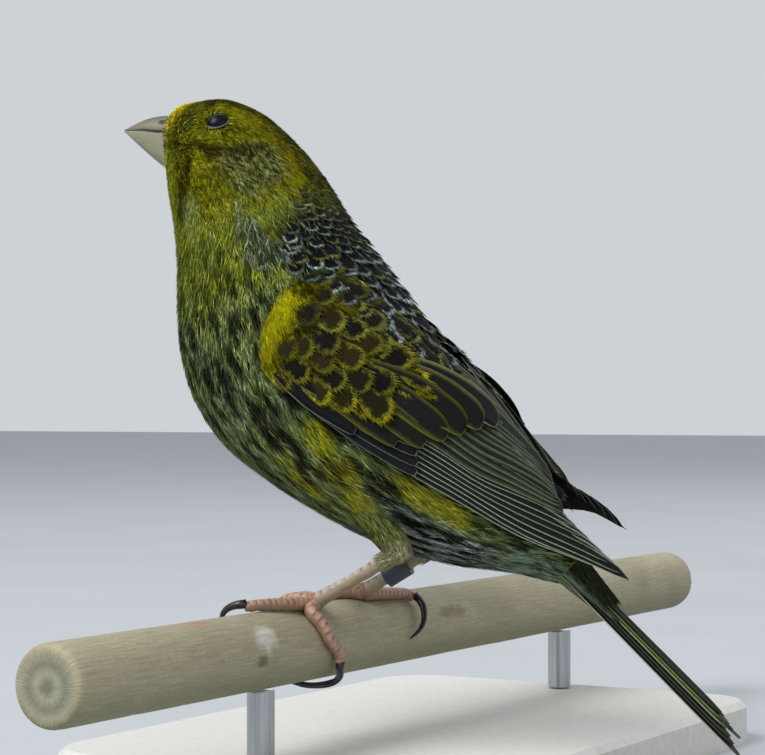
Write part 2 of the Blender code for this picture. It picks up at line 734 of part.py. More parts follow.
def toe_path(places, radii, arch=0.0):
    """Smooth centre line round the perch through places, clear of it by the gap and its own radius."""
    count = len(radii)
    read = smooth_rows(places, np.linspace(0, len(places) - 1, count))
    path = []
    for k, (along, angle) in enumerate(read):
        lift = arch * math.sin(math.pi * k / (count - 1))
        path.append(around_perch(along, angle, PERCH_RADIUS + GAP + radii[k] + lift))
    return np.array(path)


def add_leg(side, skin, horn, plumage):
    """Feathered thigh, the bare foot with its four toes, and a claw on each toe."""
    parts = LEG_PARTS[side]
    thigh_path = np.array(parts["thigh"])
    heel = thigh_path[-1]
    hub = around_perch(*parts["hub"], PERCH_RADIUS + GAP + HUB_RADIUS)
    down = unit(hub - heel)
    thigh = build_object(side + "_thigh", tube(thigh_path, THIGH_RADII, 2 * LEG_SIDES), plumage)
    cuff_path = [heel - down, heel, heel + down * CUFF_LENGTH]
    cuff_radii = (THIGH_RADII[-1] * 0.8, THIGH_RADII[-1] * 0.96, CUFF_RADIUS)
    cuff = build_object("cuff", tube(cuff_path, cuff_radii, 2 * LEG_SIDES), None)
    joint = build_object("joint", ball(heel, THIGH_RADII[-1], LEG_SIDES), None)
    boolean(thigh, [cuff, joint], "UNION")
    boolean(thigh, [body_cutter()], "DIFFERENCE")
    keep_largest(thigh)
    top = heel + down * (CUFF_LENGTH + GAP)
    path = top + np.outer(np.linspace(0, 1, 7), hub - top)
    radii = np.interp(np.linspace(0, 3, 7), range(4), TARSUS_RADII)
    foot = build_object(side + "_foot", tube(path, radii, LEG_SIDES), skin)
    pieces = [build_object("hub", ball(hub, HUB_RADIUS, LEG_SIDES), None)]
    for toe in TOES:
        places = [parts["hub"]] + list(parts[toe])
        radii = np.linspace(TOE_RADIUS, TOE_TIP_RADIUS, TOE_STEPS)
        toe_line = toe_path(places, radii)
        pieces.append(build_object("toe", tube(toe_line, radii, TOE_SIDES), None))
        claw_radii = np.linspace(CLAW_RADIUS, CLAW_TIP_RADIUS, CLAW_STEPS)
        claw_line = toe_path(parts[toe + "_claw"], claw_radii, CLAW_ARCH)
        build_object(f"{side}_{toe}_claw", tube(claw_line, claw_radii, CLAW_SIDES), horn)
    boolean(foot, pieces, "UNION")
    keep_largest(foot)
    return path


def add_ring(path, finish):
    """A plain closed ring round the right tarsus."""
    start, end = path[1], path[-2]
    along = unit(end - start)
    centre = start + (end - start) * RING_PLACE
    side = unit(np.cross(along, UP))
    other = np.cross(along, side)
    angles = np.arange(RING_SIDES) * 2 * math.pi / RING_SIDES
    circle = np.outer(np.cos(angles), side) + np.outer(np.sin(angles), other)
    inner_radius = max(TARSUS_RADII[1], TARSUS_RADII[2]) + GAP
    corners = (
        (inner_radius, -0.5),
        (RING_OUTER_RADIUS, -0.5),
        (RING_OUTER_RADIUS, 0.5),
        (inner_radius, 0.5),
    )
    vertices = np.vstack([centre + circle * radius + along * RING_HEIGHT * level for radius, level in corners])
    faces = []
    for k in range(4):
        for j in range(RING_SIDES):
            a = k * RING_SIDES + j
            b = k * RING_SIDES + (j + 1) % RING_SIDES
            shift = RING_SIDES if k < 3 else -3 * RING_SIDES
            faces.append((a, b, b + shift, a + shift))
    build_object("leg_ring", (vertices, faces), finish)


def perch_rings(radius, start, end, chamfer):
    """Rings of a round bar along the perch's axis."""
    angles = np.arange(PERCH_SIDES) * 360.0 / PERCH_SIDES
    spots = ((start, radius - chamfer), (start + chamfer, radius), (end - chamfer, radius), (end, radius - chamfer))
    return [np.array([around_perch(along, angle, size) for angle in angles]) for along, size in spots]


def add_perch(finish):
    """The cut length of dowel."""
    build_object("perch", loft(perch_rings(PERCH_RADIUS, PERCH_NEAR_END, PERCH_FAR_END, PERCH_CHAMFER)), finish)


def rounded_outline(length, width, radius):
    """Points round a rectangle with rounded corners, length along the perch and width across it."""
    points = []
    for sign_a, sign_b, start in ((1, 1, 0), (-1, 1, 90), (-1, -1, 180), (1, -1, 270)):
        for step in range(BASE_CORNER_STEPS + 1):
            turn = math.radians(start + 90.0 * step / BASE_CORNER_STEPS)
            a = sign_a * (length / 2 - BASE_CORNER_RADIUS) + radius * math.cos(turn)
            b = sign_b * (width / 2 - BASE_CORNER_RADIUS) + radius * math.sin(turn)
            points.append((a, b))
    return points


def add_stand(finish, metal):
    """Flat base and two short rods up to the perch."""
    rings = []
    middle = perch_direction() * PERCH_MIDDLE
    for radius, height in (
        (BASE_CORNER_RADIUS, 0.0),
        (BASE_CORNER_RADIUS, BASE_THICKNESS - BASE_CHAMFER),
        (BASE_CORNER_RADIUS - BASE_CHAMFER, BASE_THICKNESS),
    ):
        outline = rounded_outline(BASE_LENGTH, BASE_WIDTH, radius)
        rings.append(
            np.array([middle + perch_direction() * a - perch_front() * b + UP * height for a, b in outline])
        )
    build_object("stand_base", loft(rings), finish, lift=0.0)
    for number, sign in ((1, -1), (2, 1)):
        foot = perch_direction() * (PERCH_MIDDLE + sign * ROD_SPREAD)
        low = foot + UP * (BASE_THICKNESS + GAP - PERCH_HEIGHT)
        path = np.array([low, low * 0.5 + foot * 0.5, foot])
        rod = build_object(f"stand_rod_{number}", tube(path, [ROD_RADIUS] * 3, ROD_SIDES), metal)
        cutter = loft(perch_rings(PERCH_RADIUS + GAP, PERCH_NEAR_END - 1, PERCH_FAR_END + 1, 0.0))
        boolean(rod, [build_object("perch_cutter", cutter, None)], "DIFFERENCE")
        keep_largest(rod)


def main():
    """Builds every node."""
    clear_scene()
    plumage = material("plumage", (0.30, 0.30, 0.08), 0.7)
    flight = material("flight_feathers", (0.06, 0.06, 0.05), 0.6)
    horn = material("bill_horn", (0.62, 0.55, 0.48), 0.4)
    claw = material("claw_horn", (0.05, 0.04, 0.05), 0.35)
    skin = material("leg_skin", (0.55, 0.33, 0.26), 0.55)
    eye = material("eye", (0.01, 0.01, 0.015), 0.08)
    wood = material("perch_wood", (0.62, 0.52, 0.40), 0.75)
    base = material("stand_base", (0.75, 0.74, 0.71), 0.6)
    metal = material("stand_metal", (0.6, 0.6, 0.6), 0.35)
    plastic = material("ring_plastic", (0.03, 0.04, 0.05), 0.4)
    half = GAP / 2
    add_head(plumage)
    build_object("neck", body_shape(HEAD_CUT, NECK_CUT, start_shift=half, end_shift=-half), plumage)
    build_object("torso", body_shape(NECK_CUT, RUMP_CUT, start_shift=half, end_shift=-half), plumage)
    build_object("rump", body_shape(RUMP_CUT, BODY_END, start_shift=half), plumage)
    for side in ("left", "right"):
        build_object(side + "_eye", ball(eye_centre(side)[0], EYE_RADIUS, EYE_SIDES), eye)
        add_wing(side, flight)
    add_bill(horn)
    add_tail(flight)
    add_leg("left", skin, claw, plumage)
    right_path = add_leg("right", skin, claw, plumage)
    add_ring(right_path, plastic)
    add_perch(wood)
    add_stand(base, metal)


main()
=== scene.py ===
"""The dressed model of a lizard canary on a cut length of perch, on its plain display stand.

Sizes are millimetres from the perch's axis between the bird's feet, as in the CAD source, until
add_mesh puts them into the row's frame in metres. The bird faces -X, its left side is towards -Y.
"""

import math

import bpy
import numpy as np
from mathutils import Matrix, Vector
from mathutils.bvhtree import BVHTree


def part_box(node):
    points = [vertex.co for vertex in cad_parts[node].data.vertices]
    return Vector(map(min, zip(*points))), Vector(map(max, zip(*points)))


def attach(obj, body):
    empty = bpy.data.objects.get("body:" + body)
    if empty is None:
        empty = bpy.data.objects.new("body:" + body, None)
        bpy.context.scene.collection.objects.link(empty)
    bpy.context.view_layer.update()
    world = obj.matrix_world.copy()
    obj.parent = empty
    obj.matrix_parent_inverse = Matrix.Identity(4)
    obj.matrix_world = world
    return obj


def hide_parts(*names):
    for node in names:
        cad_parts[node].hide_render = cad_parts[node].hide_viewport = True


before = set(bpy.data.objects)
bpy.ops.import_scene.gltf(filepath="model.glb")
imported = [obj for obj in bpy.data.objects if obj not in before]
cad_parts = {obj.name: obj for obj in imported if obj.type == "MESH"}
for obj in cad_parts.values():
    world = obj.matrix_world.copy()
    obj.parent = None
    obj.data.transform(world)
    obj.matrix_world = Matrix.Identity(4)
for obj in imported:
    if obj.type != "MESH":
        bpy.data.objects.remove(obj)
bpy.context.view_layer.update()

MM = 0.001
LIFT = (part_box("perch")[0][2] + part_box("perch")[1][2]) / 2 / MM
RNG = np.random.default_rng(20251125)
UP = np.array([0.0, 0.0, 1.0])

# Shape tables shared with the CAD source
BODY_SECTIONS = (
    (-16.4, 81.5, -19.4, 81.5, 2.0, 12.0),
    (-13.2, 80.4, -23.1, 80.5, 6.2, 12.0),
    (-10.1, 78.8, -24.8, 78.3, 8.2, 12.0),
    (-7.7, 76.8, -25.1, 75.2, 9.2, 12.0),
    (-5.5, 74.7, -25.2, 71.7, 9.6, 11.0),
    (-3.1, 72.1, -25.2, 67.9, 10.0, 8.0),
    (0.1, 67.8, -24.3, 62.8, 11.2, 3.0),
    (3.4, 62.8, -23.4, 56.7, 13.1, 0.0),
    (7.7, 57.5, -23.1, 50.0, 15.0, 0.0),
    (12.4, 51.6, -22.5, 42.7, 16.3, 0.0),
    (16.8, 45.3, -20.3, 35.5, 16.7, 0.0),
    (20.6, 38.8, -15.6, 28.9, 16.3, 0.0),
    (24.6, 32.9, -8.4, 23.4, 15.0, 0.0),
    (28.1, 27.3, 0.1, 18.5, 13.1, 0.0),
    (31.3, 22.8, 9.8, 14.1, 10.8, 0.0),
    (34.2, 19.2, 19.9, 11.6, 8.3, 0.0),
    (37.2, 15.9, 29.3, 10.6, 5.9, 0.0),
    (39.8, 13.3, 36.2, 9.2, 4.0, 0.0),
)
BODY_END = 17.0
HEAD_AXIS_X = -14.4
HEAD_TURN = 12.0
EYE_PLACE = 2.6
EYE_ANGLE = 82.0
BILL_TIP = (-32.2, 76.8)
BILL_BASE_X = -22.6
# Heights of the culmen, the gape and the chin at the bill's base
BILL_BASE_HEIGHTS = (78.7, 76.4, 68.8)
BILL_HALF_WIDTH = 3.7
WING_FRONT_EDGE = (
    (-7.5, -13.4, 46.6),
    (-1.7, -15.8, 38.6),
    (10.3, -16.2, 30.3),
    (21.1, -14.6, 23.6),
    (31.9, -10.8, 17.1),
    (41.2, -7.0, 13.0),
    (47.4, -4.6, 9.8),
)
WING_BACK_EDGE = (
    (0.6, -9.6, 56.6),
    (7.6, -8.4, 52.8),
    (15.6, -6.8, 45.8),
    (23.8, -5.0, 37.8),
    (31.4, -4.4, 29.0),
    (38.2, -3.4, 19.8),
    (45.4, -2.8, 12.7),
)
WING_BULGE = (1.4, 3.6, 4.8, 4.6, 2.8, 1.2, 0.3)
WING_END = 6.0
RIGHT_WING_LIFT = 6.5
RIGHT_WING_LIFT_START = 3.0
RIGHT_WING_LIFT_END = 5.3
RIGHT_WING_FORWARD = 1.7
RIGHT_WING_SHORT = 1.1
TAIL_TIP = (63.4, -12.7)
PERCH_RADIUS = 5.6
PERCH_NEAR_END = -67.0
PERCH_FAR_END = 129.0
PERCH_TURN = 10.0
GAP = 0.3


def srgb(*levels):
    """Linear colour of screen levels from 0 to 255."""
    value = np.array(levels, float) / 255.0
    return np.where(value <= 0.04045, value / 12.92, ((value + 0.055) / 1.055) ** 2.4)


def unit(vector):
    """The vectors at length one."""
    vector = np.asarray(vector, float)
    return vector / np.maximum(np.linalg.norm(vector, axis=-1, keepdims=True), 1e-12)


def smooth_rows(rows, places):
    """Catmull-Rom curve through rows, read at fractional row numbers."""
    rows = np.asarray(rows, float)
    padded = np.vstack([2 * rows[0] - rows[1], rows, 2 * rows[-1] - rows[-2]])
    places = np.clip(np.atleast_1d(places), 0, len(rows) - 1)
    first = np.minimum(places.astype(int), len(rows) - 2)
    t = (places - first)[:, None]
    a, b, c, d = (padded[first + k] for k in range(4))
    return 0.5 * (2 * b + (c - a) * t + (2 * a - 5 * b + 4 * c - d) * t**2 + (3 * b - a - 3 * c + d) * t**3)


def smoothstep(low, high, value):
    """0 below low, 1 above high and an even rise between."""
    t = np.clip((np.asarray(value, float) - low) / (high - low), 0, 1)
    return t * t * (3 - 2 * t)


def fold(angle):
    """Angles laid over onto the left side: 0 at the back, 180 at the belly."""
    return np.where(angle > 180, 360 - angle, angle)


def mix(first, second, share):
    """The first colours turned into the second by a share for each row."""
    share = np.asarray(share, float)[..., None]
    return first * (1 - share) + second * share


def turn_about_z(points, degrees, centre_x=0.0):
    """Points turned about the upright axis through centre_x."""
    angle = np.radians(degrees)
    x = points[..., 0] - centre_x
    y = points[..., 1]
    turned = points.copy()
    turned[..., 0] = centre_x + x * np.cos(angle) - y * np.sin(angle)
    turned[..., 1] = x * np.sin(angle) + y * np.cos(angle)
    return turned


def noise(points, size, seed=0):
    """Smooth value noise between 0 and 1, with lumps of this size."""
    cell = np.asarray(points, float) / size + 17.31 * seed
    base = np.floor(cell)
    part = cell - base
    part = part * part * (3 - 2 * part)
    total = 0.0
    for corner in range(8):
        offset = np.array([corner & 1, corner >> 1 & 1, corner >> 2 & 1])
        value = np.sin((base + offset) @ np.array([127.1, 311.7, 74.7])) * 43758.5453
        weight = np.prod(np.where(offset, part, 1 - part), axis=-1)
        total = total + (value - np.floor(value)) * weight
    return total


def body_points(place, angle, grow=0.0):
    """Points on the body's outline at section numbers and angles: 0 is the back, 90 the left side."""
    back_x, back_z, belly_x, belly_z, half_width, turn = smooth_rows(BODY_SECTIONS, place).T
    radians = np.radians(angle)
    half = np.stack([(back_x - belly_x) / 2, (back_z - belly_z) / 2], 1)
    length = np.linalg.norm(half, axis=1)
    half = half * ((length + grow) / length)[:, None]
    x = (back_x + belly_x) / 2 + half[:, 0] * np.cos(radians)
    z = (back_z + belly_z) / 2 + half[:, 1] * np.cos(radians)
    y = -(half_width + grow) * np.sin(radians)
    return turn_about_z(np.stack([x, y, z], 1), turn, HEAD_AXIS_X)


def wing_outward(place):
    """Unit vectors square to the folded left wing's chord."""
    across = smooth_rows(WING_BACK_EDGE, place) - smooth_rows(WING_FRONT_EDGE, place)
    along = smooth_rows(WING_FRONT_EDGE, np.minimum(place + 0.5, WING_END))
    along = along - smooth_rows(WING_FRONT_EDGE, np.maximum(place - 0.5, 0.0))
    found = unit(np.cross(across, along))
    return np.where(found[:, 1:2] < 0, found, -found)


def wing_points(place, share):
    """Points on the left wing's bulged sheet."""
    front = smooth_rows(WING_FRONT_EDGE, place)
    back = smooth_rows(WING_BACK_EDGE, place)
    bulge = smooth_rows(np.array(WING_BULGE)[:, None], place)
    share = share[:, None]
    return front + (back - front) * share + wing_outward(place) * bulge * 4 * share * (1 - share)


def wing_sheet(place, share, side):
    """Points and outward normals on a folded wing's sheet."""
    place, share = np.broadcast_arrays(np.asarray(place, float), np.asarray(share, float))
    shape = place.shape
    extra = np.maximum(place.ravel() - WING_END, 0.0)
    place, share = np.minimum(place.ravel(), WING_END), share.ravel()
    step = 0.02
    here = wing_points(place, share)
    low = np.maximum(place - step, 0.0)
    high = np.minimum(place + step, WING_END)
    along = (wing_points(high, share) - wing_points(low, share)) / (high - low)[:, None]
    across = wing_points(place, share + step) - wing_points(place, share - step)
    normal = unit(np.cross(across, along))
    normal = np.where((normal * wing_outward(place)).sum(1)[:, None] < 0, -normal, normal)
    here = here + along * extra[:, None]
    if side == "right":
        mirror = np.array([1.0, -1.0, 1.0])
        here = here * mirror
        normal = normal * mirror
        carried = smoothstep(RIGHT_WING_LIFT_START, RIGHT_WING_LIFT_END, place)
        here[:, 0] -= RIGHT_WING_FORWARD + RIGHT_WING_SHORT * place / WING_END
        here[:, 2] += RIGHT_WING_LIFT * (1 - share) * carried
    return here.reshape(*shape, 3), normal.reshape(*shape, 3)


def perch_axes():
    """Unit vectors along the perch and level towards the bird's front."""
    turn = math.radians(PERCH_TURN)
    return np.array([math.sin(turn), math.cos(turn), 0.0]), np.array([-math.cos(turn), math.sin(turn), 0.0])


def around_perch(along, angle, radius):
    """Points at distances along the perch and angles round it from its top towards the bird's front."""
    direction, front = perch_axes()
    along, angle, radius = np.broadcast_arrays(
        np.asarray(along, float), np.radians(np.asarray(angle, float)), np.asarray(radius, float)
    )
    ring = np.cos(angle)[..., None] * UP + np.sin(angle)[..., None] * front
    return along[..., None] * direction + radius[..., None] * ring


def add_mesh(name, points, faces, finish, replaced=(), colours=None, unwrap=None, extra=None, edges=None):
    """A mesh piece from points in millimetres and arrays of corner numbers, ridden on the model."""
    rows = [np.asarray(part, np.int64) for part in faces if len(part)]
    points = np.asarray(points, float)
    volume = 0.0
    for part in rows:
        for k in range(1, part.shape[1] - 1):
            a, b, c = (points[part[:, j]] for j in (0, k, k + 1))
            volume += np.einsum("ij,ij->i", a, np.cross(b, c)).sum()
    if volume < 0:
        rows = [part[:, ::-1] for part in rows]
    corners = np.concatenate([part.ravel() for part in rows]).astype(np.int32)
    sizes = np.concatenate([np.full(len(part), part.shape[1]) for part in rows])
    starts = np.concatenate([[0], np.cumsum(sizes)[:-1]]).astype(np.int32)
    mesh = bpy.data.meshes.new(name)
    mesh.vertices.add(len(points))
    mesh.loops.add(len(corners))
    mesh.polygons.add(len(sizes))
    placed = (points + UP * LIFT) * MM
    mesh.vertices.foreach_set("co", placed.astype(np.float32).ravel())
    mesh.loops.foreach_set("vertex_index", corners)
    mesh.polygons.foreach_set("loop_start", starts)
    mesh.polygons.foreach_set("use_smooth", np.ones(len(sizes), bool))
    mesh.update(calc_edges=True)
    for label, levels in (("markings", colours), ("edges", edges)):
        if levels is not None:
            layer = mesh.color_attributes.new(label, "FLOAT_COLOR", "POINT")
            rgba = np.column_stack([np.clip(levels, 0, 1), np.ones(len(points))])
            layer.data.foreach_set("color", rgba.astype(np.float32).ravel())
    if unwrap is not None:
        layer = mesh.uv_layers.new(name="OFBake")
        layer.data.foreach_set("uv", np.asarray(unwrap, np.float32)[corners].ravel())
    if extra is not None:
        layer = mesh.uv_layers.new(name="vane")
        layer.data.foreach_set("uv", np.asarray(extra, np.float32)[corners].ravel())
    mesh.materials.append(finish)
    piece = bpy.data.objects.new(name, mesh)
    bpy.context.scene.collection.objects.link(piece)
    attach(piece, "root")
    if replaced:
        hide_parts(*replaced)
    return piece


def ring_faces(rings, sides, closed=True):
    """Quads between rings of points that follow each other."""
    count = sides if closed else sides - 1
    i, j = np.meshgrid(np.arange(rings - 1), np.arange(count), indexing="ij")
    a = (i * sides + j).ravel()
    b = (i * sides + (j + 1) % sides).ravel()
    return np.stack([a, b, b + sides, a + sides], 1)


def loft(rings, start=None, end=None):
    """Points, quads and cap triangles of a closed tube through an array of rings."""
    rings = np.asarray(rings, float)
    count, sides = rings.shape[:2]
    start = rings[0].mean(0) if start is None else start
    end = rings[-1].mean(0) if end is None else end
    points = np.vstack([rings.reshape(-1, 3), start, end])
    j = np.arange(sides)
    last = (count - 1) * sides
    first_cap = np.stack([(j + 1) % sides, j, np.full(sides, count * sides)], 1)
    last_cap = np.stack([last + j, last + (j + 1) % sides, np.full(sides, count * sides + 1)], 1)
    return points, [ring_faces(count, sides), np.vstack([first_cap, last_cap])]


def join_shapes(shapes):
    """One list of points and face arrays from several shapes of points and face arrays."""
    points = []
    faces = []
    offset = 0
    for shape_points, shape_faces in shapes:
        points.append(shape_points)
        faces += [np.asarray(part) + offset for part in shape_faces if len(part)]
        offset += len(shape_points)
    return np.vstack(points), faces


def repeat_faces(faces, count, stride):
    """The face arrays of one shape, for count copies of it that each hold stride points."""
    offsets = np.arange(count)[:, None, None] * stride
    return [(np.asarray(part)[None] + offsets).reshape(-1, np.asarray(part).shape[1]) for part in faces]


def slab_faces(rows, columns):
    """Faces of a closed slab: a top grid of points followed by a bottom grid."""
    i, j = np.meshgrid(np.arange(rows - 1), np.arange(columns - 1), indexing="ij")
    a = (i * columns + j).ravel()
    top = np.stack([a, a + 1, a + 1 + columns, a + columns], 1)
    bottom = top[:, ::-1] + rows * columns
    rim = list(range(columns))
    rim += [i * columns + columns - 1 for i in range(1, rows)]
    rim += [(rows - 1) * columns + j for j in range(columns - 2, -1, -1)]
    rim += [i * columns for i in range(rows - 2, 0, -1)]
    here = np.array(rim)
    after = np.roll(here, -1)
    side = np.stack([after, here, here + rows * columns, after + rows * columns], 1)
    return [top, bottom, side]


# Materials


def shaded(dark, light, low, high, value):
    """Colours between two screen colours, by the step that the value takes."""
    return mix(srgb(*dark), srgb(*light), smoothstep(low, high, value))


def new_material(name, roughness, specular=0.5):
    """A Principled material, its node tree and its shader."""
    made = bpy.data.materials.new(name)
    made.use_nodes = True
    shader = made.node_tree.nodes["Principled BSDF"]
    shader.inputs["Roughness"].default_value = roughness
    shader.inputs["Specular IOR Level"].default_value = specular
    return made, made.node_tree, shader


def feed(tree, value, socket):
    """Link the socket to an output, or set it to a value."""
    if isinstance(value, bpy.types.NodeSocket):
        tree.links.new(value, socket)
    else:
        socket.default_value = value


def node(tree, kind, **values):
    """A shader node with these properties and inputs; an input is named with its spaces as underscores."""
    made = tree.nodes.new("ShaderNode" + kind)
    for key, value in values.items():
        if hasattr(made, key):
            setattr(made, key, value)
        else:
            feed(tree, value, made.inputs[key.replace("_", " ")])
    return made


def maths(tree, operation, *values):
    """The result of one sum on outputs or numbers."""
    made = node(tree, "Math", operation=operation)
    for value, socket in zip(values, made.inputs):
        feed(tree, value, socket)
    return made.outputs["Value"]


def spread(tree, value, low, high, **limits):
    """A value spread from low to high."""
    return node(tree, "MapRange", Value=value, To_Min=low, To_Max=high, **limits).outputs["Result"]


def multiply_colour(tree, colour, factor):
    """The colour times a factor."""
    scaled = node(tree, "VectorMath", operation="SCALE", Scale=factor)
    tree.links.new(colour, scaled.inputs[0])
    return scaled.outputs["Vector"]


def painted(tree, layer="markings"):
    """The colours kept in the mesh."""
    return node(tree, "VertexColor", layer_name=layer).outputs["Color"]


def object_place(tree, stretch=None):
    """The object's own coordinates, stretched or not."""
    place = node(tree, "TexCoord").outputs["Object"]
    return place if stretch is None else node(tree, "Mapping", Scale=stretch, Vector=place).outputs["Vector"]


def fine_noise(tree, place, grain, detail, **values):
    """Noise with lumps of a size in millimetres."""
    return node(tree, "TexNoise", Vector=place, Scale=1.0 / (grain * MM), Detail=detail, **values).outputs["Fac"]


def finish_shader(tree, shader, colour, height, strength, depth):
    """The shader's colour, and its relief of a depth in millimetres where it has strength."""
    tree.links.new(colour, shader.inputs["Base Color"])
    if strength is not None:
        relief = node(tree, "Bump", Strength=strength, Distance=depth * MM, Height=height)
        tree.links.new(relief.outputs["Normal"], shader.inputs["Normal"])


def markings_material(name, roughness, specular, grain, low, high, bump, stretch=None):
    """A material coloured by the piece's markings, with fine grain in colour, roughness and relief."""
    made, tree, shader = new_material(name, roughness, specular)
    fine = fine_noise(tree, object_place(tree, stretch), grain, 3.0)
    rough = spread(tree, fine, roughness - 0.1, roughness + 0.1)
    tree.links.new(rough, shader.inputs["Roughness"])
    colour = multiply_colour(tree, painted(tree), spread(tree, fine, low, high))
    finish_shader(tree, shader, colour, fine, bump or None, 0.1)
    return made


def barb_wave(tree, slant, count):
    """Waves along a vane's slanting barbs, and the vane's own coordinates."""
    own = node(tree, "UVMap", uv_map="vane").outputs["UV"]
    parts = node(tree, "SeparateXYZ", Vector=own).outputs
    away = maths(tree, "ABSOLUTE", parts["X"])
    along = maths(tree, "MULTIPLY_ADD", away, -slant, parts["Y"])
    return maths(tree, "SINE", maths(tree, "MULTIPLY", along, count)), parts


def vane_material(name):
    """Flight feathers: markings with fine slanting barbs in relief, read from the vane's own map."""
    made, tree, shader = new_material(name, 0.55, 0.07)
    wave, _ = barb_wave(tree, 1.4, 20.0)
    fine = fine_noise(tree, object_place(tree), 0.7, 3.0)
    total = maths(tree, "MULTIPLY_ADD", wave, 0.22, fine)
    colour = multiply_colour(tree, painted(tree), spread(tree, total, 0.6, 1.4))
    finish_shader(tree, shader, colour, wave, 0.35, 0.05)
    return made


def plume_material(name):
    """Small feathers: a ragged dark drop within a fringe, read from the feather's own map."""
    made, tree, shader = new_material(name, 0.7, 0.03)
    wave, parts = barb_wave(tree, 0.9, 42.0)
    drop = node(tree, "CombineXYZ", X=maths(tree, "MULTIPLY", parts["X"], 0.86),
                Y=maths(tree, "MAXIMUM", parts["Y"], -0.25)).outputs["Vector"]
    size = node(tree, "VectorMath", operation="LENGTH")
    tree.links.new(drop, size.inputs[0])
    ragged = fine_noise(tree, object_place(tree), 0.7, 5.0, Roughness=0.7)
    reach = maths(tree, "MULTIPLY_ADD", ragged, 1.25, size.outputs["Value"])
    reach = maths(tree, "MULTIPLY_ADD", wave, 0.05, reach)
    blend = node(tree, "Mix", data_type="RGBA", Factor=spread(tree, reach, 0.0, 1.0, From_Min=1.18, From_Max=1.52))
    tree.links.new(painted(tree), blend.inputs[6])
    tree.links.new(painted(tree, "edges"), blend.inputs[7])
    colour = multiply_colour(tree, blend.outputs[2], spread(tree, wave, 0.84, 1.16, From_Min=-1.0))
    finish_shader(tree, shader, colour, wave, 0.3, 0.04)
    return made


def wood_material(name):
    """Pale dowel: markings under long fine grain, pores and a worn sheen."""
    made, tree, shader = new_material(name, 0.62, 0.3)
    own = node(tree, "UVMap", uv_map="vane").outputs["UV"]
    along = node(tree, "Mapping", Scale=(0.16, 3.6, 1.0), Vector=own).outputs["Vector"]
    grain = node(tree, "TexNoise", Vector=along, Scale=1.0, Detail=6.0, Roughness=0.62, Distortion=0.25).outputs["Fac"]
    pores = fine_noise(tree, object_place(tree), 0.5, 4.0)
    colour = multiply_colour(tree, painted(tree), spread(tree, grain, 0.55, 1.45))
    colour = multiply_colour(tree, colour, spread(tree, pores, 0.8, 1.2))
    finish_shader(tree, shader, colour, maths(tree, "MULTIPLY_ADD", grain, 2.0, pores), 0.5, 0.15)
    return made


def plain_material(name, colour, roughness, grain, low, high, bump, specular=0.5, metallic=0.0, stretch=None):
    """A colour broken up by fine noise that also drives roughness and relief."""
    made, tree, shader = new_material(name, roughness, specular)
    shader.inputs["Metallic"].default_value = metallic
    fine = fine_noise(tree, object_place(tree, stretch), grain, 5.0)
    ramp = node(tree, "ValToRGB", Fac=fine)
    for stop, place, share in zip(ramp.color_ramp.elements, (0.3, 0.7), (low, high)):
        stop.position = place
        stop.color = (*np.minimum(srgb(*colour) * share, 1.0), 1.0)
    rough = spread(tree, fine, max(roughness - 0.08, 0.02), roughness + 0.08)
    tree.links.new(rough, shader.inputs["Roughness"])
    finish_shader(tree, shader, ramp.outputs["Color"], fine, bump, 0.1)
    return made


PLUMAGE = markings_material("plumage_barbs", 0.7, 0.03, 0.35, 0.70, 1.30, 0.0)
PLUME = plume_material("plume_barbs")
# The ground under the coat, the wings' coverts and the thighs shows its markings at 0.3 to 0.6 of their colour:
# painted shade between the feathers
SHADE_DARKENED_SKIN = markings_material("plumage_ground_painted_shade", 0.8, 0.08, 0.5, 0.3, 0.6, 0.4)
VANES = vane_material("flight_vanes")
HORN = markings_material("bill_horn_fine", 0.42, 0.35, 0.7, 0.76, 1.2, 0.2, stretch=(0.35, 1.0, 1.0))
LEG = markings_material("leg_scales", 0.5, 0.4, 0.4, 0.75, 1.25, 0.35)
LIDS = markings_material("eyelid_skin", 0.6, 0.12, 0.25, 0.8, 1.2, 0.4)
CLAW = plain_material("claw_horn_fine", (30, 26, 28), 0.3, 0.8, 0.6, 1.5, 0.15)
EYE = plain_material("eye_dark", (7, 7, 14), 0.26, 1.2, 0.4, 1.6, 0.0, specular=0.13)
WOOD = wood_material("perch_dowel")

# Body surface: one dense net of the outline, to stand feathers on and to read places from

NET_PLACES = np.linspace(0, BODY_END, 205)
NET_ANGLES = np.arange(0, 360, 2.5)
NET_SIDES = len(NET_ANGLES)
grid_place, grid_angle = np.meshgrid(NET_PLACES, NET_ANGLES, indexing="ij")
NET = body_points(grid_place.ravel(), grid_angle.ravel())
NET_FACES = ring_faces(len(NET_PLACES), NET_SIDES)
CROWN = NET[:NET_SIDES].mean(0) + UP * 0.35
CROWN_CAP = [(j, (j + 1) % NET_SIDES, len(NET)) for j in range(NET_SIDES)]
BODY_TREE = BVHTree.FromPolygons(
    np.vstack([NET, CROWN]).tolist(), [tuple(face) for face in NET_FACES.tolist()] + CROWN_CAP
)


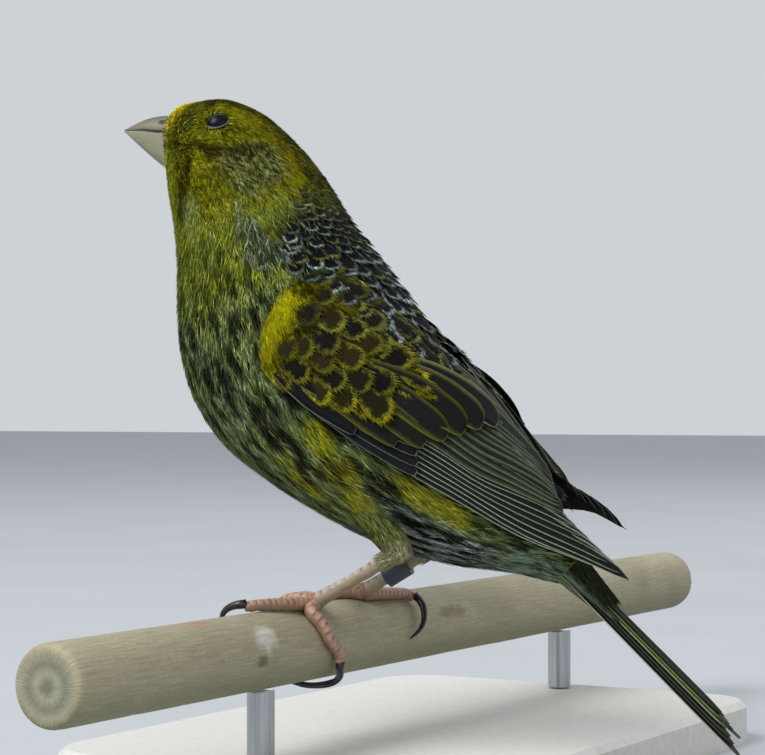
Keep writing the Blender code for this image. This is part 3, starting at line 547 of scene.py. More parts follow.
def on_body(points):
    """Nearest outline points, outward normals, places and angles."""
    found = np.zeros((len(points), 3))
    normals = np.zeros((len(points), 3))
    index = np.zeros(len(points), int)
    for k, point in enumerate(points.tolist()):
        hit, normal, face, _ = BODY_TREE.find_nearest(point)
        found[k] = hit
        normals[k] = normal
        index[k] = face
    inside = np.minimum(index, len(NET_FACES) - 1)
    row, column = inside // NET_SIDES, inside % NET_SIDES
    corner = NET[NET_FACES[inside, 0]]
    across = NET[NET_FACES[inside, 1]] - corner
    along = NET[NET_FACES[inside, 3]] - corner
    offset = found - corner
    v = np.clip((offset * across).sum(1) / (across**2).sum(1), 0, 1)
    u = np.clip((offset * along).sum(1) / (along**2).sum(1), 0, 1)
    place = (row + u) * BODY_END / (len(NET_PLACES) - 1)
    angle = (column + v) * 2.5
    capped = index >= len(NET_FACES)
    place = np.where(capped, 0.0, place)
    middle = (body_points(place, np.zeros(len(place))) + body_points(place, np.full(len(place), 180.0))) / 2
    flip = (normals * (found - middle + np.where(capped, 1.0, 0.0)[:, None] * UP)).sum(1) < 0
    normals = np.where(flip[:, None], -normals, normals)
    return found, normals, place, angle


def surface_frame(place, angle):
    """A point on the head, its outward normal and unit vectors forward and up in the surface."""
    point = body_points([place], [angle])[0]
    down = body_points([place + 0.05], [angle])[0] - body_points([place - 0.05], [angle])[0]
    round_body = body_points([place], [angle + 1.0])[0] - body_points([place], [angle - 1.0])[0]
    normal = unit(np.cross(round_body, down))
    middle = body_points([place], [0.0])[0] / 2 + body_points([place], [180.0])[0] / 2
    if normal @ (point - middle) < 0:
        normal = -normal
    facing = turn_about_z(np.array([-1.0, 0.0, 0.0]), HEAD_TURN)
    forward = unit(facing - normal * (facing @ normal))
    upward = np.cross(forward, normal)
    if upward[2] < 0:
        upward = -upward
    return point, normal, forward, upward


EYE_FRAMES = {"left": surface_frame(EYE_PLACE, EYE_ANGLE), "right": surface_frame(EYE_PLACE, 360.0 - EYE_ANGLE)}
EYE_BALL_RADIUS = 2.3
EYE_DEPTH = 2.36
LID_RADIUS = 2.36
LID_REACH = 2.36
EYE_LENGTH = 3.2
EYE_HEIGHT = 1.98
EYE_TILT = 20.0
BILL_ROOT = turn_about_z(np.array([-23.0, 0.0, 75.0]), HEAD_TURN, HEAD_AXIS_X)


def eye_axes(side):
    """Point over the eye, outward normal, and the long and short axes of its opening."""
    point, normal, forward, upward = EYE_FRAMES[side]
    tilt = math.radians(EYE_TILT)
    long_axis = -forward * math.cos(tilt) + upward * math.sin(tilt)
    short_axis = unit(np.cross(long_axis, normal))
    if short_axis[2] < 0:
        short_axis = -short_axis
    return point, normal, long_axis, short_axis


def flow(points, normals, place):
    """Unit vectors along the lie of the feathers, in the surface."""
    low = body_points(np.maximum(place - 0.3, 0), np.zeros(len(place)))
    low = low + body_points(np.maximum(place - 0.3, 0), np.full(len(place), 180.0))
    high = body_points(np.minimum(place + 0.3, BODY_END), np.zeros(len(place)))
    high = high + body_points(np.minimum(place + 0.3, BODY_END), np.full(len(place), 180.0))
    down = unit(high - low)
    away = points - BILL_ROOT
    distance = np.linalg.norm(away, axis=1)
    direction = mix(unit(away), down, smoothstep(8.0, 24.0, distance))
    for side in ("left", "right"):
        centre, _, long_axis, short_axis = eye_axes(side)
        offset = points - centre
        near = 1 - smoothstep(1.5, 3.6, np.linalg.norm(offset, axis=1))
        direction = direction + near[:, None] * unit(offset) * 0.8
    direction = direction - normals * (direction * normals).sum(1)[:, None]
    return unit(direction)


# Markings of the body


def distance_to_line(points, line):
    """Distance of points to a line of corners, on both sides of the bird alike."""
    best = np.full(len(points), 1e9)
    for start, end in zip(line[:-1], line[1:]):
        start, end = np.array(start), np.array(end)
        run = end - start
        t = np.clip(((points - start) @ run) / (run @ run), 0, 1)
        best = np.minimum(best, np.linalg.norm(points - start - t[:, None] * run, axis=1))
    return best


def near_line(points, line, inner, outer):
    """1 within inner of the line and 0 beyond outer."""
    return 1 - smoothstep(inner, outer, distance_to_line(points, line))


def feather_cells(place, angle, rows, columns, length, width, seed):
    """Drop shapes at the middles of staggered feather cells: 1 inside and 0 outside."""
    best = np.zeros(len(place))
    for row_step in (-1, 0, 1):
        row = np.floor(place / rows) + row_step
        shift = np.where(row % 2 > 0.5, 0.5, 0.0)
        for column_step in (-1, 0, 1):
            column = np.floor(angle / columns - shift) + column_step
            key = np.sin(row * 12.9898 + column * 78.233 + seed) * 43758.5453
            chance = key - np.floor(key)
            other = np.sin(row * 39.3468 + column * 11.135 + seed) * 24634.6345
            other = other - np.floor(other)
            middle = (row + 0.5 + 0.36 * (chance - 0.5)) * rows
            centre = (column + 0.5 + shift + 0.36 * (other - 0.5)) * columns
            along = (place - middle) / (length * (0.75 + 0.5 * other))
            narrow = 1.0 - 0.35 * np.clip(-along, -1, 1)
            across = (angle - centre) / (width * (0.75 + 0.5 * chance) * narrow)
            best = np.maximum(best, 1 - smoothstep(0.55, 1.15, np.sqrt(along**2 + across**2)))
    return best


def mirrored(points):
    """Head and body points laid over onto the bird's left side, the head turned straight first."""
    straight = points.copy()
    turn = np.interp(points[:, 2], [56.0, 62.0, 68.0, 72.0], [0.0, 3.0, 8.0, HEAD_TURN])
    straight = turn_about_z(straight, -turn, HEAD_AXIS_X)
    straight[:, 1] = -np.abs(straight[:, 1])
    return turn_about_z(straight, turn, HEAD_AXIS_X)


FOREHEAD = np.array([-22.0, -3.8, 79.4])
LORE = np.array([-19.0, -9.0, 77.0])
FOREHEAD_SLOPE = np.array([-20.2, -1.0, 81.0])
SUPERCILIUM = ((-13.0, -7.2, 79.0), (-11.3, -6.4, 78.1), (-8.0, -4.9, 75.9), (-5.1, -4.2, 72.9), (-1.9, -5.8, 67.4))
CRESCENT = ((-16.6, -9.4, 75.2), (-15.2, -9.7, 74.6), (-12.1, -9.0, 74.2), (-8.9, -6.6, 75.0), (-6.7, -4.6, 74.6))
DARK_BAND = ((-18.2, -9.6, 73.8), (-16.5, -9.8, 73.2), (-13.9, -9.7, 72.6), (-9.7, -8.3, 72.6), (-7.2, -6.4, 73.2))
EYE_LINE = ((-13.2, -8.4, 76.2), (-11.0, -7.6, 76.1), (-8.4, -6.0, 75.9), (-6.4, -4.6, 75.3))
MALAR = ((-18.8, -9.4, 73.0), (-19.3, -8.9, 68.5), (-20.0, -8.5, 64.8), (-20.0, -8.6, 61.0))
GREY_CHEEK = ((-10.6, -9.0, 71.0), (-7.2, -7.2, 72.0), (-5.8, -7.2, 69.8), (-8.6, -9.6, 67.6))
YELLOW_CHEEK = ((-17.2, -9.8, 71.0), (-16.0, -10.2, 68.5), (-13.6, -10.4, 66.5), (-12.5, -11.0, 64.0))
PALE_STRIP = ((-18.4, -9.6, 64.0), (-17.9, -9.9, 61.1), (-18.4, -10.4, 55.5))
WHITE_SPOT = ((-9.6, -11.0, 64.2), (-8.2, -11.7, 61.8))
GREY_BAND = ((-7.2, -12.6, 60.0), (-4.4, -14.0, 57.0), (1.9, -11.3, 56.9), (5.0, -8.6, 57.8), (2.4, -6.4, 61.0))
FLANK_YELLOW = (
    ((4.4, -15.4, 31.0), (5.6, -15.0, 27.4), (8.4, -13.0, 23.2), (11.0, -9.6, 18.4)),
    ((16.6, -13.4, 23.4), (20.9, -11.3, 20.6), (24.6, -10.4, 18.6)),
    ((-0.6, -13.0, 26.0), (2.6, -10.6, 22.6)),
)
FLANK_DARK = (
    ((0.6, -14.6, 29.6), (1.8, -13.4, 25.6), (2.6, -12.2, 23.4)),
    ((6.2, -14.2, 26.2), (7.6, -13.2, 23.6)),
    ((12.0, -13.6, 24.6), (14.6, -12.6, 21.5), (16.2, -11.8, 19.4)),
    ((16.6, -11.2, 18.8), (18.6, -10.2, 16.6)),
    ((-4.0, -15.6, 32.0), (-2.4, -14.6, 28.4)),
)


def warped(points):
    """Points shifted about by soft noise, for markings with ragged edges."""
    broad = np.stack([noise(points, 1.8, 21 + k) for k in range(3)], 1) - 0.5
    fine = np.stack([noise(points, 0.7, 31 + k) for k in range(3)], 1) - 0.5
    rough = smoothstep(70.0, 58.0, points[:, 2])[:, None]
    return points + (0.9 + 1.1 * rough) * broad + (0.7 + 0.3 * rough) * fine


def body_colour(points, place, angle, roots=None):
    """Colours of the plumage at points of the body, alike on both sides; roots carry the fine speckle."""
    roots = points if roots is None else roots
    wrapped = fold(angle)
    spot = warped(mirrored(points))
    grain = noise(roots, 0.78, 1)
    finer = noise(roots, 0.27, 2)
    broad = noise(points, 4.5, 3)
    dark_share = smoothstep(0.50, 0.62, grain)
    dots = feather_cells(place + 0.10 * (grain - 0.5), angle + 3.0 * (finer - 0.5), 0.28, 5.6, 0.12, 1.7, 5.0)
    dark_dots = np.clip(0.55 * dark_share + dots, 0, 1)
    light_share = smoothstep(0.56, 0.74, finer)

    def within(line, inner, outer):
        """1 on a line of the markings and 0 away from it."""
        return near_line(spot, line, inner, outer)

    head = shaded((122, 124, 18), (168, 166, 20), 0.35, 0.7, broad)
    crown = (1 - smoothstep(0.9, 2.6, place)) * (1 - smoothstep(95, 130, wrapped))
    nape = (1 - smoothstep(24, 50, wrapped)) * smoothstep(1.0, 3.0, place)
    head = mix(head, srgb(90, 92, 34), np.clip(crown * 0.75 + nape * 0.7, 0, 1))
    brow = within(SUPERCILIUM, 1.0, 2.6)
    head = mix(head, srgb(196, 188, 20), brow * 0.8)
    head = mix(head, srgb(176, 174, 24), within(YELLOW_CHEEK, 1.0, 2.8) * 0.8)
    throat = smoothstep(136, 150, wrapped) * smoothstep(3.2, 4.2, place)
    head = mix(head, srgb(196, 214, 56), throat * 0.95)
    lore = 1 - smoothstep(1.0, 2.8, np.linalg.norm(spot - LORE, axis=1))
    head = mix(head, srgb(96, 106, 30), lore * 0.7)
    calm = within(CRESCENT, 0.45, 1.15)
    head = mix(head, srgb(224, 214, 48), light_share * 0.62 * (1 - 0.4 * calm) * (1 - 0.5 * crown))
    amount = 0.80 + 0.1 * crown + 0.15 * nape - 0.25 * throat - 0.1 * brow
    head = mix(head, srgb(28, 26, 12), np.clip(dark_dots * amount * (1 - 0.8 * calm), 0, 1))
    cheek = shaded((44, 48, 24), (178, 188, 112), 0.42, 0.62, finer)
    head = mix(head, cheek, within(GREY_CHEEK, 0.9, 3.9) * 0.85)
    head = mix(head, shaded((104, 108, 16), (160, 164, 22), 0.35, 0.65, finer), calm * 0.85)
    band = mix(srgb(52, 46, 13), srgb(112, 100, 22), light_share)
    head = mix(head, band, within(DARK_BAND, 0.45, 1.3) * 0.85)
    head = mix(head, srgb(34, 30, 10), within(EYE_LINE, 0.15, 0.6) * 0.8)
    stripe = mix(srgb(48, 46, 13), srgb(104, 102, 20), light_share)
    head = mix(head, stripe, within(MALAR, 0.5, 1.7) * 0.9)
    forehead = 1 - smoothstep(2.4, 4.2, np.linalg.norm((spot - FOREHEAD) * np.array([1.0, 0.8, 1.0]), axis=1))
    head = mix(head, srgb(240, 224, 46), forehead * (1 - 0.4 * dark_share))
    head = mix(head, srgb(190, 210, 124), within(PALE_STRIP, 0.6, 2.8) * 0.7 * (1 - 0.7 * dark_share))
    white = shaded((40, 42, 28), (190, 192, 150), 0.42, 0.6, finer)
    head = mix(head, white, within(WHITE_SPOT, 0.5, 1.4) * 0.7)

    yellow_share = 1 - smoothstep(7.8, 9.6, place)
    breast = mix(srgb(122, 142, 92), srgb(158, 168, 32), np.clip(yellow_share * 0.85 + 0.9 * (broad - 0.45), 0, 1))
    breast = mix(breast, srgb(196, 210, 152), light_share * (0.35 + 0.25 * (1 - yellow_share)))
    belly = smoothstep(142, 160, wrapped) * smoothstep(9.5, 11.5, place)
    breast = mix(breast, srgb(140, 160, 96), belly * 0.6)
    rows = place + 0.5 * (noise(points, 1.1, 41) - 0.5)
    columns = wrapped + 5.0 * (noise(points, 0.8, 42) - 0.5)
    drops = feather_cells(rows, columns, 0.84, 10.5, 0.40, 3.4, 4.0)
    small = feather_cells(rows + 0.4, columns + 5.0, 0.84, 10.5, 0.24, 2.4, 9.0)
    strength = smoothstep(6.6, 7.6, place) * (0.6 + 0.4 * smoothstep(7.6, 9.0, place))
    strength = strength * (1 - 0.5 * belly)
    dark = np.clip(drops * 1.1 + small * 0.6, 0, 1) * strength
    breast = mix(breast, srgb(46, 50, 36), 0.5 * dark_share * smoothstep(6.4, 7.4, place))
    breast = mix(breast, srgb(26, 25, 22), dark * (0.85 + 0.15 * finer))
    gold = shaded((124, 138, 22), (208, 202, 22), 0.3, 0.6, finer)
    gold = mix(gold, srgb(214, 212, 70), 0.4 * smoothstep(12.0, 13.5, place))
    for line in FLANK_YELLOW:
        breast = mix(breast, gold, within(line, 1.0, 2.8) * (0.9 - 0.5 * dark_share))
    for line in FLANK_DARK:
        breast = mix(breast, srgb(26, 25, 22), within(line, 0.7, 1.9) * (0.95 - 0.4 * light_share))
    blots = feather_cells(rows, columns, 0.70, 12.5, 0.40, 5.0, 7.0)
    barred = smoothstep(13.2, 13.9, place) * (1 - smoothstep(15.1, 15.9, place)) * smoothstep(80, 98, wrapped)
    bars = mix(srgb(148, 160, 152), srgb(232, 240, 232), light_share)
    bars = mix(bars, srgb(12, 12, 15), np.clip(blots * 1.6, 0, 1))
    breast = mix(breast, bars, barred * 0.95)
    vent = mix(srgb(148, 170, 140), srgb(40, 44, 38), np.clip(dark_share * 0.6 + drops * 0.5, 0, 1))
    breast = mix(breast, vent, smoothstep(15.2, 15.9, place) * smoothstep(60, 90, wrapped))
    grey = shaded((46, 54, 46), (136, 152, 132), 0.42, 0.62, finer)
    breast = mix(breast, grey, within(GREY_BAND, 1.4, 3.2) * 0.85)

    back = shaded((26, 27, 24), (112, 120, 90), 0.56, 0.7, finer)
    rump = smoothstep(13.0, 14.2, place) * (1 - smoothstep(60, 84, wrapped))
    back = mix(back, srgb(104, 104, 30), rump * 0.6 * (1 - dark_share))
    colour = mix(head, breast, smoothstep(5.8, 7.1, place + 1.2 * (noise(points, 1.4, 43) - 0.5)))
    on_back = 1 - smoothstep(42, 66, wrapped - 26 * (noise(points, 1.2, 44) - 0.5))
    return mix(colour, back, on_back * smoothstep(6.0, 7.0, place + 1.2 * (noise(points, 1.0, 45) - 0.5)))


# Coat of fine barbs


def blades(stations, normals, widths, lift_edges=0.35):
    """Thin closed three-sided blades; stations are rows of points from root to tip."""
    count, steps = stations.shape[:2]
    along = unit(np.gradient(stations, axis=1))
    sideways = unit(np.cross(normals, along))
    half = widths[:, :-1, None] / 2
    left = stations[:, :-1] + sideways[:, :-1] * half
    right = stations[:, :-1] - sideways[:, :-1] * half
    keel = stations[:, :-1] - normals[:, :-1] * half * 2 * lift_edges
    rings = np.stack([left, right, keel], 2).reshape(count, -1, 3)
    points = np.concatenate([rings, stations[:, -1:]], 1)
    stride = points.shape[1]
    tip = stride - 1
    last = (steps - 2) * 3
    quads = ring_faces(steps - 1, 3)
    triangles = np.array([(2, 1, 0), (last, last + 1, tip), (last + 1, last + 2, tip), (last + 2, last, tip)])
    ring_of = np.concatenate([np.repeat(np.arange(steps - 1), 3), [steps - 1]])
    return points.reshape(-1, 3), repeat_faces([quads, triangles], count, stride), ring_of


def patch_map(root_u, root_v, ring_of, steps):
    """Map points in a patch 0.003 across at each tuft's root."""
    across = np.tile([0.0, 1.0, 0.5], steps)[: len(ring_of)]
    across[-1] = 0.5
    u = np.asarray(root_u)[:, None] * 0.994 + 0.003 * across
    v = np.asarray(root_v)[:, None] * 0.994 + 0.003 * ring_of / (steps - 1)
    return np.stack([u, v], -1).reshape(-1, 2)


def wing_net(side):
    """The wing's outer surface as a net, for finding what it covers."""
    places = np.linspace(0.0, 5.9, 60)
    shares = np.linspace(0.0, 1.0, 25)
    p, s = np.meshgrid(places, shares, indexing="ij")
    points, normals = wing_sheet(p, s, side)
    points = points + normals * wing_height(p, s)[..., None]
    faces = ring_faces(60, 25, closed=False)
    return BVHTree.FromPolygons(points.reshape(-1, 3).tolist(), faces.tolist())


def wing_height(place, share):
    """How high the wing's outer feathers stand over its sheet."""
    end = smoothstep(-0.2, 0.7, place) * (1 - 0.8 * smoothstep(2.4, 4.2, place))
    edge = 0.35 + 0.65 * np.sin(np.pi * np.clip(share, 0.02, 0.98)) ** 0.5
    return 0.35 + 1.3 * end * edge


WING_TREES = {side: wing_net(side) for side in ("left", "right")}


def covered(points, normals):
    """True where a folded wing lies over the body."""
    found = np.zeros(len(points), bool)
    for k, (point, normal) in enumerate(zip(points.tolist(), normals.tolist())):
        tree = WING_TREES["left" if point[1] < 0 else "right"]
        hit = tree.ray_cast(Vector(point), Vector(normal), 12.0)
        found[k] = hit[0] is not None
    return found


def body_roots(count, low, high):
    """Random roots spread evenly over the body between two section numbers."""
    corners = NET[NET_FACES]
    area = np.linalg.norm(np.cross(corners[:, 2] - corners[:, 0], corners[:, 3] - corners[:, 1]), axis=1)
    place = grid_place.ravel()[NET_FACES[:, 0]]
    angle = grid_angle.ravel()[NET_FACES[:, 0]]
    chance = area * ((place >= low) & (place < high))
    pick = RNG.choice(len(NET_FACES), count, p=chance / chance.sum())
    step = BODY_END / (len(NET_PLACES) - 1)
    return place[pick] + RNG.random(count) * step, (angle[pick] + RNG.random(count) * 2.5) % 360


def eye_distance(points):
    """Distance to the middle of the nearer eye's opening in opening sizes, 1 on the lids' edge."""
    best = np.full(len(points), 1e9)
    for side in ("left", "right"):
        centre, normal, long_axis, short_axis = eye_axes(side)
        offset = points - centre
        size = np.sqrt(
            (offset @ long_axis / (EYE_LENGTH / 2)) ** 2
            + (offset @ short_axis / (EYE_HEIGHT / 2)) ** 2
            + (offset @ normal / 4.0) ** 2
        )
        best = np.minimum(best, size)
    return best


def in_bill(points, margin):
    """True where points lie inside the bill's base."""
    straight = turn_about_z(points, -HEAD_TURN, HEAD_AXIS_X)
    x, y, z = straight.T
    share = np.clip((x - BILL_BASE_X) / (BILL_TIP[0] - BILL_BASE_X), 0.0, 1.0)
    _, culmen, _, chin, half_width = bill_profile(share)
    half_height = (culmen - chin) / 2
    rise = (z - (culmen + chin) / 2) / (half_height + margin)
    return (x < BILL_BASE_X) & ((y / (half_width + margin)) ** 2 + rise**2 < 1)


def forehead_sink(points):
    """How far the plumage lies under the solids' outline where the forehead slopes to the bill."""
    offset = (mirrored(points) - FOREHEAD_SLOPE) * np.array([1.0, 0.5, 1.0])
    return 0.60 * (1 - smoothstep(0.6, 4.4, np.linalg.norm(offset, axis=1)))


# Coats of blades over the body: count and sections of the roots, stations of a blade, then length, width and
# depth of the root as ramps (at the front, change, from, to), spread of the lie, paleness and lift at the tip
HEAD_LENGTH = (1.35, 0.75, 3.0, 6.0)


HEAD_WISP_LENGTH = (1.485, 0.825, 3.0, 6.0)


NECK_LENGTH = (2.6, 0.8, 6.0, 8.0)


TORSO_LENGTH = (3.8, 1.4, 9.5, 12.0)


BODY_WISP_LENGTH = (3.42, 1.26, 9.5, 12.0)


HEAD_WIDTH = (0.17, 0.05, 3.0, 6.0)


FACE_SHORT = 0.5


COATS = {
    "head_coat_front": (15000, 0.0, 3.2, 3, HEAD_LENGTH, HEAD_WIDTH, (0.5, 0.0, 0.0, 1.0), 0.25, 0.0, 0.0),
    "head_coat_back": (14000, 3.0, 5.6, 3, HEAD_LENGTH, HEAD_WIDTH, (0.55, 0.0, 0.0, 1.0), 0.25, 0.0, 0.0),
    "neck_coat": (12000, 5.2, 7.6, 3, NECK_LENGTH, (0.23, 0.0, 0.0, 1.0), (0.9, 0.0, 0.0, 1.0), 0.22, 0.0, 0.0),
    "breast_coat": (11000, 7.2, 10.2, 4, TORSO_LENGTH, (0.27, 0.0, 0.0, 1.0), (1.2, 0.0, 0.0, 1.0), 0.18, 0.0, 0.0),
    "belly_coat": (11000, 9.9, 13.3, 4, TORSO_LENGTH, (0.27, 0.0, 0.0, 1.0), (1.2, 0.0, 0.0, 1.0), 0.18, 0.0, 0.0),
    "vent_coat": (8000, 13.0, 16.6, 4, TORSO_LENGTH, (0.25, 0.0, 0.0, 1.0), (1.1, -0.5, 14.5, 16.5), 0.18, 0.0, 0.0),
    "head_wisps": (7000, 0.6, 6.6, 3, HEAD_WISP_LENGTH, (0.10, 0.0, 0.0, 1.0), (0.4, 0.0, 0.0, 1.0), 0.45, 0.6, 0.10),
    "body_wisps": (9000, 6.4, 16.4, 4, BODY_WISP_LENGTH, (0.12, 0.0, 0.0, 1.0), (0.6, 0.0, 0.0, 1.0), 0.30, 0.7, 0.16),
}


CROWN_BLADES = 420


# Share of the root's depth and of the full width at each station of a blade
COAT_SINK = {3: (1.0, 0.45, 0.0), 4: (1.0, 0.5, 0.15, 0.0)}


COAT_TAPER = {3: (0.8, 1.0, 0.1), 4: (0.7, 1.0, 0.8, 0.1)}


def ramp(values, place):
    """A size along the body that starts at the first value and changes by the second between two sections."""
    start, change, low, high = values
    return start + change * smoothstep(low, high, place)


def add_tufts(name, stations, normals, widths, shades, root_u, root_v):
    """A coat piece of blades with a colour at each station."""
    shape, faces, ring_of = blades(stations, normals, widths)
    colours = shades[:, ring_of].reshape(-1, 3)
    unwrap = patch_map(root_u, root_v, ring_of, stations.shape[1])
    return add_mesh(name, shape, faces, PLUMAGE, (), colours, unwrap)


def coat(name, roots):
    """Blades over the body from roots, lying along the flow, coloured by the body's markings."""
    _, _, _, steps, length, width, sink, spread_of_lie, pale, lift = COATS[name]
    place, angle = roots
    points = body_points(np.maximum(place, 0.0), angle)
    points = mix(points, CROWN, np.maximum(-place, 0.0))
    place = np.maximum(place, 0.0)
    keep = (eye_distance(points) > 1.05) & ~in_bill(points, -0.25)
    place, angle, points = place[keep], angle[keep], points[keep]
    points, normals, _, _ = on_body(points)
    keep = ~covered(points, normals)
    place, angle, points, normals = place[keep], angle[keep], points[keep], normals[keep]
    count = len(points)
    wrapped = fold(angle)
    face = smoothstep(120, 150, wrapped) * (1 - smoothstep(3.5, 5.0, place))
    short = FACE_SHORT * length[0] / HEAD_LENGTH[0]
    lengths = (ramp(length, place) - short * face) * RNG.uniform(0.75, 1.2, count)
    stations, all_normals, places, angles = [points], [normals], [place], [angle]
    jitter = RNG.normal(0, spread_of_lie, count)
    for _ in range(steps - 1):
        direction = flow(stations[-1], all_normals[-1], places[-1])
        sideways = np.cross(all_normals[-1], direction)
        direction = unit(direction + sideways * jitter[:, None])
        found = on_body(stations[-1] + direction * (lengths / (steps - 1))[:, None])
        for rows, row in zip((stations, all_normals, places, angles), found):
            rows.append(row)
    stations = np.stack(stations, 1)
    all_normals = np.stack(all_normals, 1)
    under_mantle = smoothstep(6.2, 7.2, place) * (1 - smoothstep(44, 66, wrapped))
    by_bill = 1 - smoothstep(4.2, 6.6, np.linalg.norm(points - BILL_ROOT, axis=1))
    depth = (ramp(sink, place) * (1 - 0.8 * by_bill))[:, None] * np.array(COAT_SINK[steps])
    depth = depth + ((0.6 - 0.5 * pale) * under_mantle)[:, None]
    depth = depth + RNG.uniform(0.0, 0.22, (count, 1)) - 0.04 - lift * np.linspace(0, 1, steps)
    depth = depth + forehead_sink(points)[:, None]
    stations = stations - all_normals * depth[..., None]
    widths = ramp(width, place)[:, None] * np.array(COAT_TAPER[steps]) * RNG.uniform(0.75, 1.25, (count, 1))
    tips = np.repeat(stations[:, -1], steps, axis=0)
    seen = body_colour(stations.reshape(-1, 3), np.stack(places, 1).ravel(), np.stack(angles, 1).ravel(), tips)
    seen = seen.reshape(count, steps, 3)
    luminous = seen @ np.array([0.25, 0.65, 0.10])
    target = seen * 1.5 + srgb(60, 66, 40) * 0.6
    seen = mix(seen, np.minimum(target, 0.5), pale * (0.4 + 0.6 * smoothstep(0.02, 0.12, luminous)))
    # Painted shade: each blade is darker at its root, where the blades above cover it, and paler at its tip, on top of
    # a random tone
    tone = RNG.lognormal(0.0, 0.22, (count, 1, 1)) * np.linspace(0.62, 1.12, steps)[None, :, None]
    add_tufts(name, stations, all_normals, widths, seen * tone, place / BODY_END, angle / 360.0)


def make_skin():
    """One skin under the coat, from the crown to the tail's root, with its eye sockets, darkened as painted shade
    between the feathers.
    """
    places = np.concatenate([np.linspace(0, 6, 73), np.linspace(6.15, BODY_END, 90)])
    angles = np.arange(0, 360, 3.0)
    p, a = np.meshgrid(places, angles, indexing="ij")
    p, a = p.ravel(), a.ravel()
    depth = -(0.45 + 0.75 * smoothstep(5.0, 8.0, p) - 0.5 * smoothstep(15.5, 17.0, p))
    points = body_points(p, a, depth)
    for side in ("left", "right"):
        centre, normal, _, _ = eye_axes(side)
        offset = points - centre
        away = np.linalg.norm(offset - np.outer(offset @ normal, normal), axis=1)
        same_side = (offset @ normal) > -4.0
        push = (1 - smoothstep(1.7, 2.3, away)) * same_side
        points = points - push[:, None] * normal * 1.6
    points[:, 2] -= 0.5 * (1 - smoothstep(0.0, 1.5, p)) + forehead_sink(points)
    rings = points.reshape(len(places), len(angles), 3)
    crown = rings[0].mean(0) + UP * 0.1
    shape, faces = loft(rings, start=crown)
    outline = body_points(p, a)
    # Painted shade: the plumage's colours at 0.8, so the skin seen between the blades reads dark
    colours = body_colour(outline, p, a) * 0.8
    colours = np.vstack([colours, colours[:1], colours[-1:]])
    unwrap = np.stack([p / BODY_END, a / 360.0], 1) * 0.994
    unwrap = np.vstack([unwrap, [0.0, 0.5], [0.994, 0.5]])
    return add_mesh("skin", shape, faces, SHADE_DARKENED_SKIN, ("head", "neck", "torso", "rump"), colours, unwrap)


def make_coat():
    """Fine blades over the head, neck, breast, flanks and vent."""
    for name, (count, low, high, *_) in COATS.items():
        crown = CROWN_BLADES if low == 0.0 else 0
        cap = -np.sqrt(RNG.random(crown)), RNG.uniform(0, 360, crown)
        coat(name, tuple(np.concatenate(pair) for pair in zip(body_roots(count, low, high), cap)))


# Small feathers with a solid centre and a fringe of loose barbs


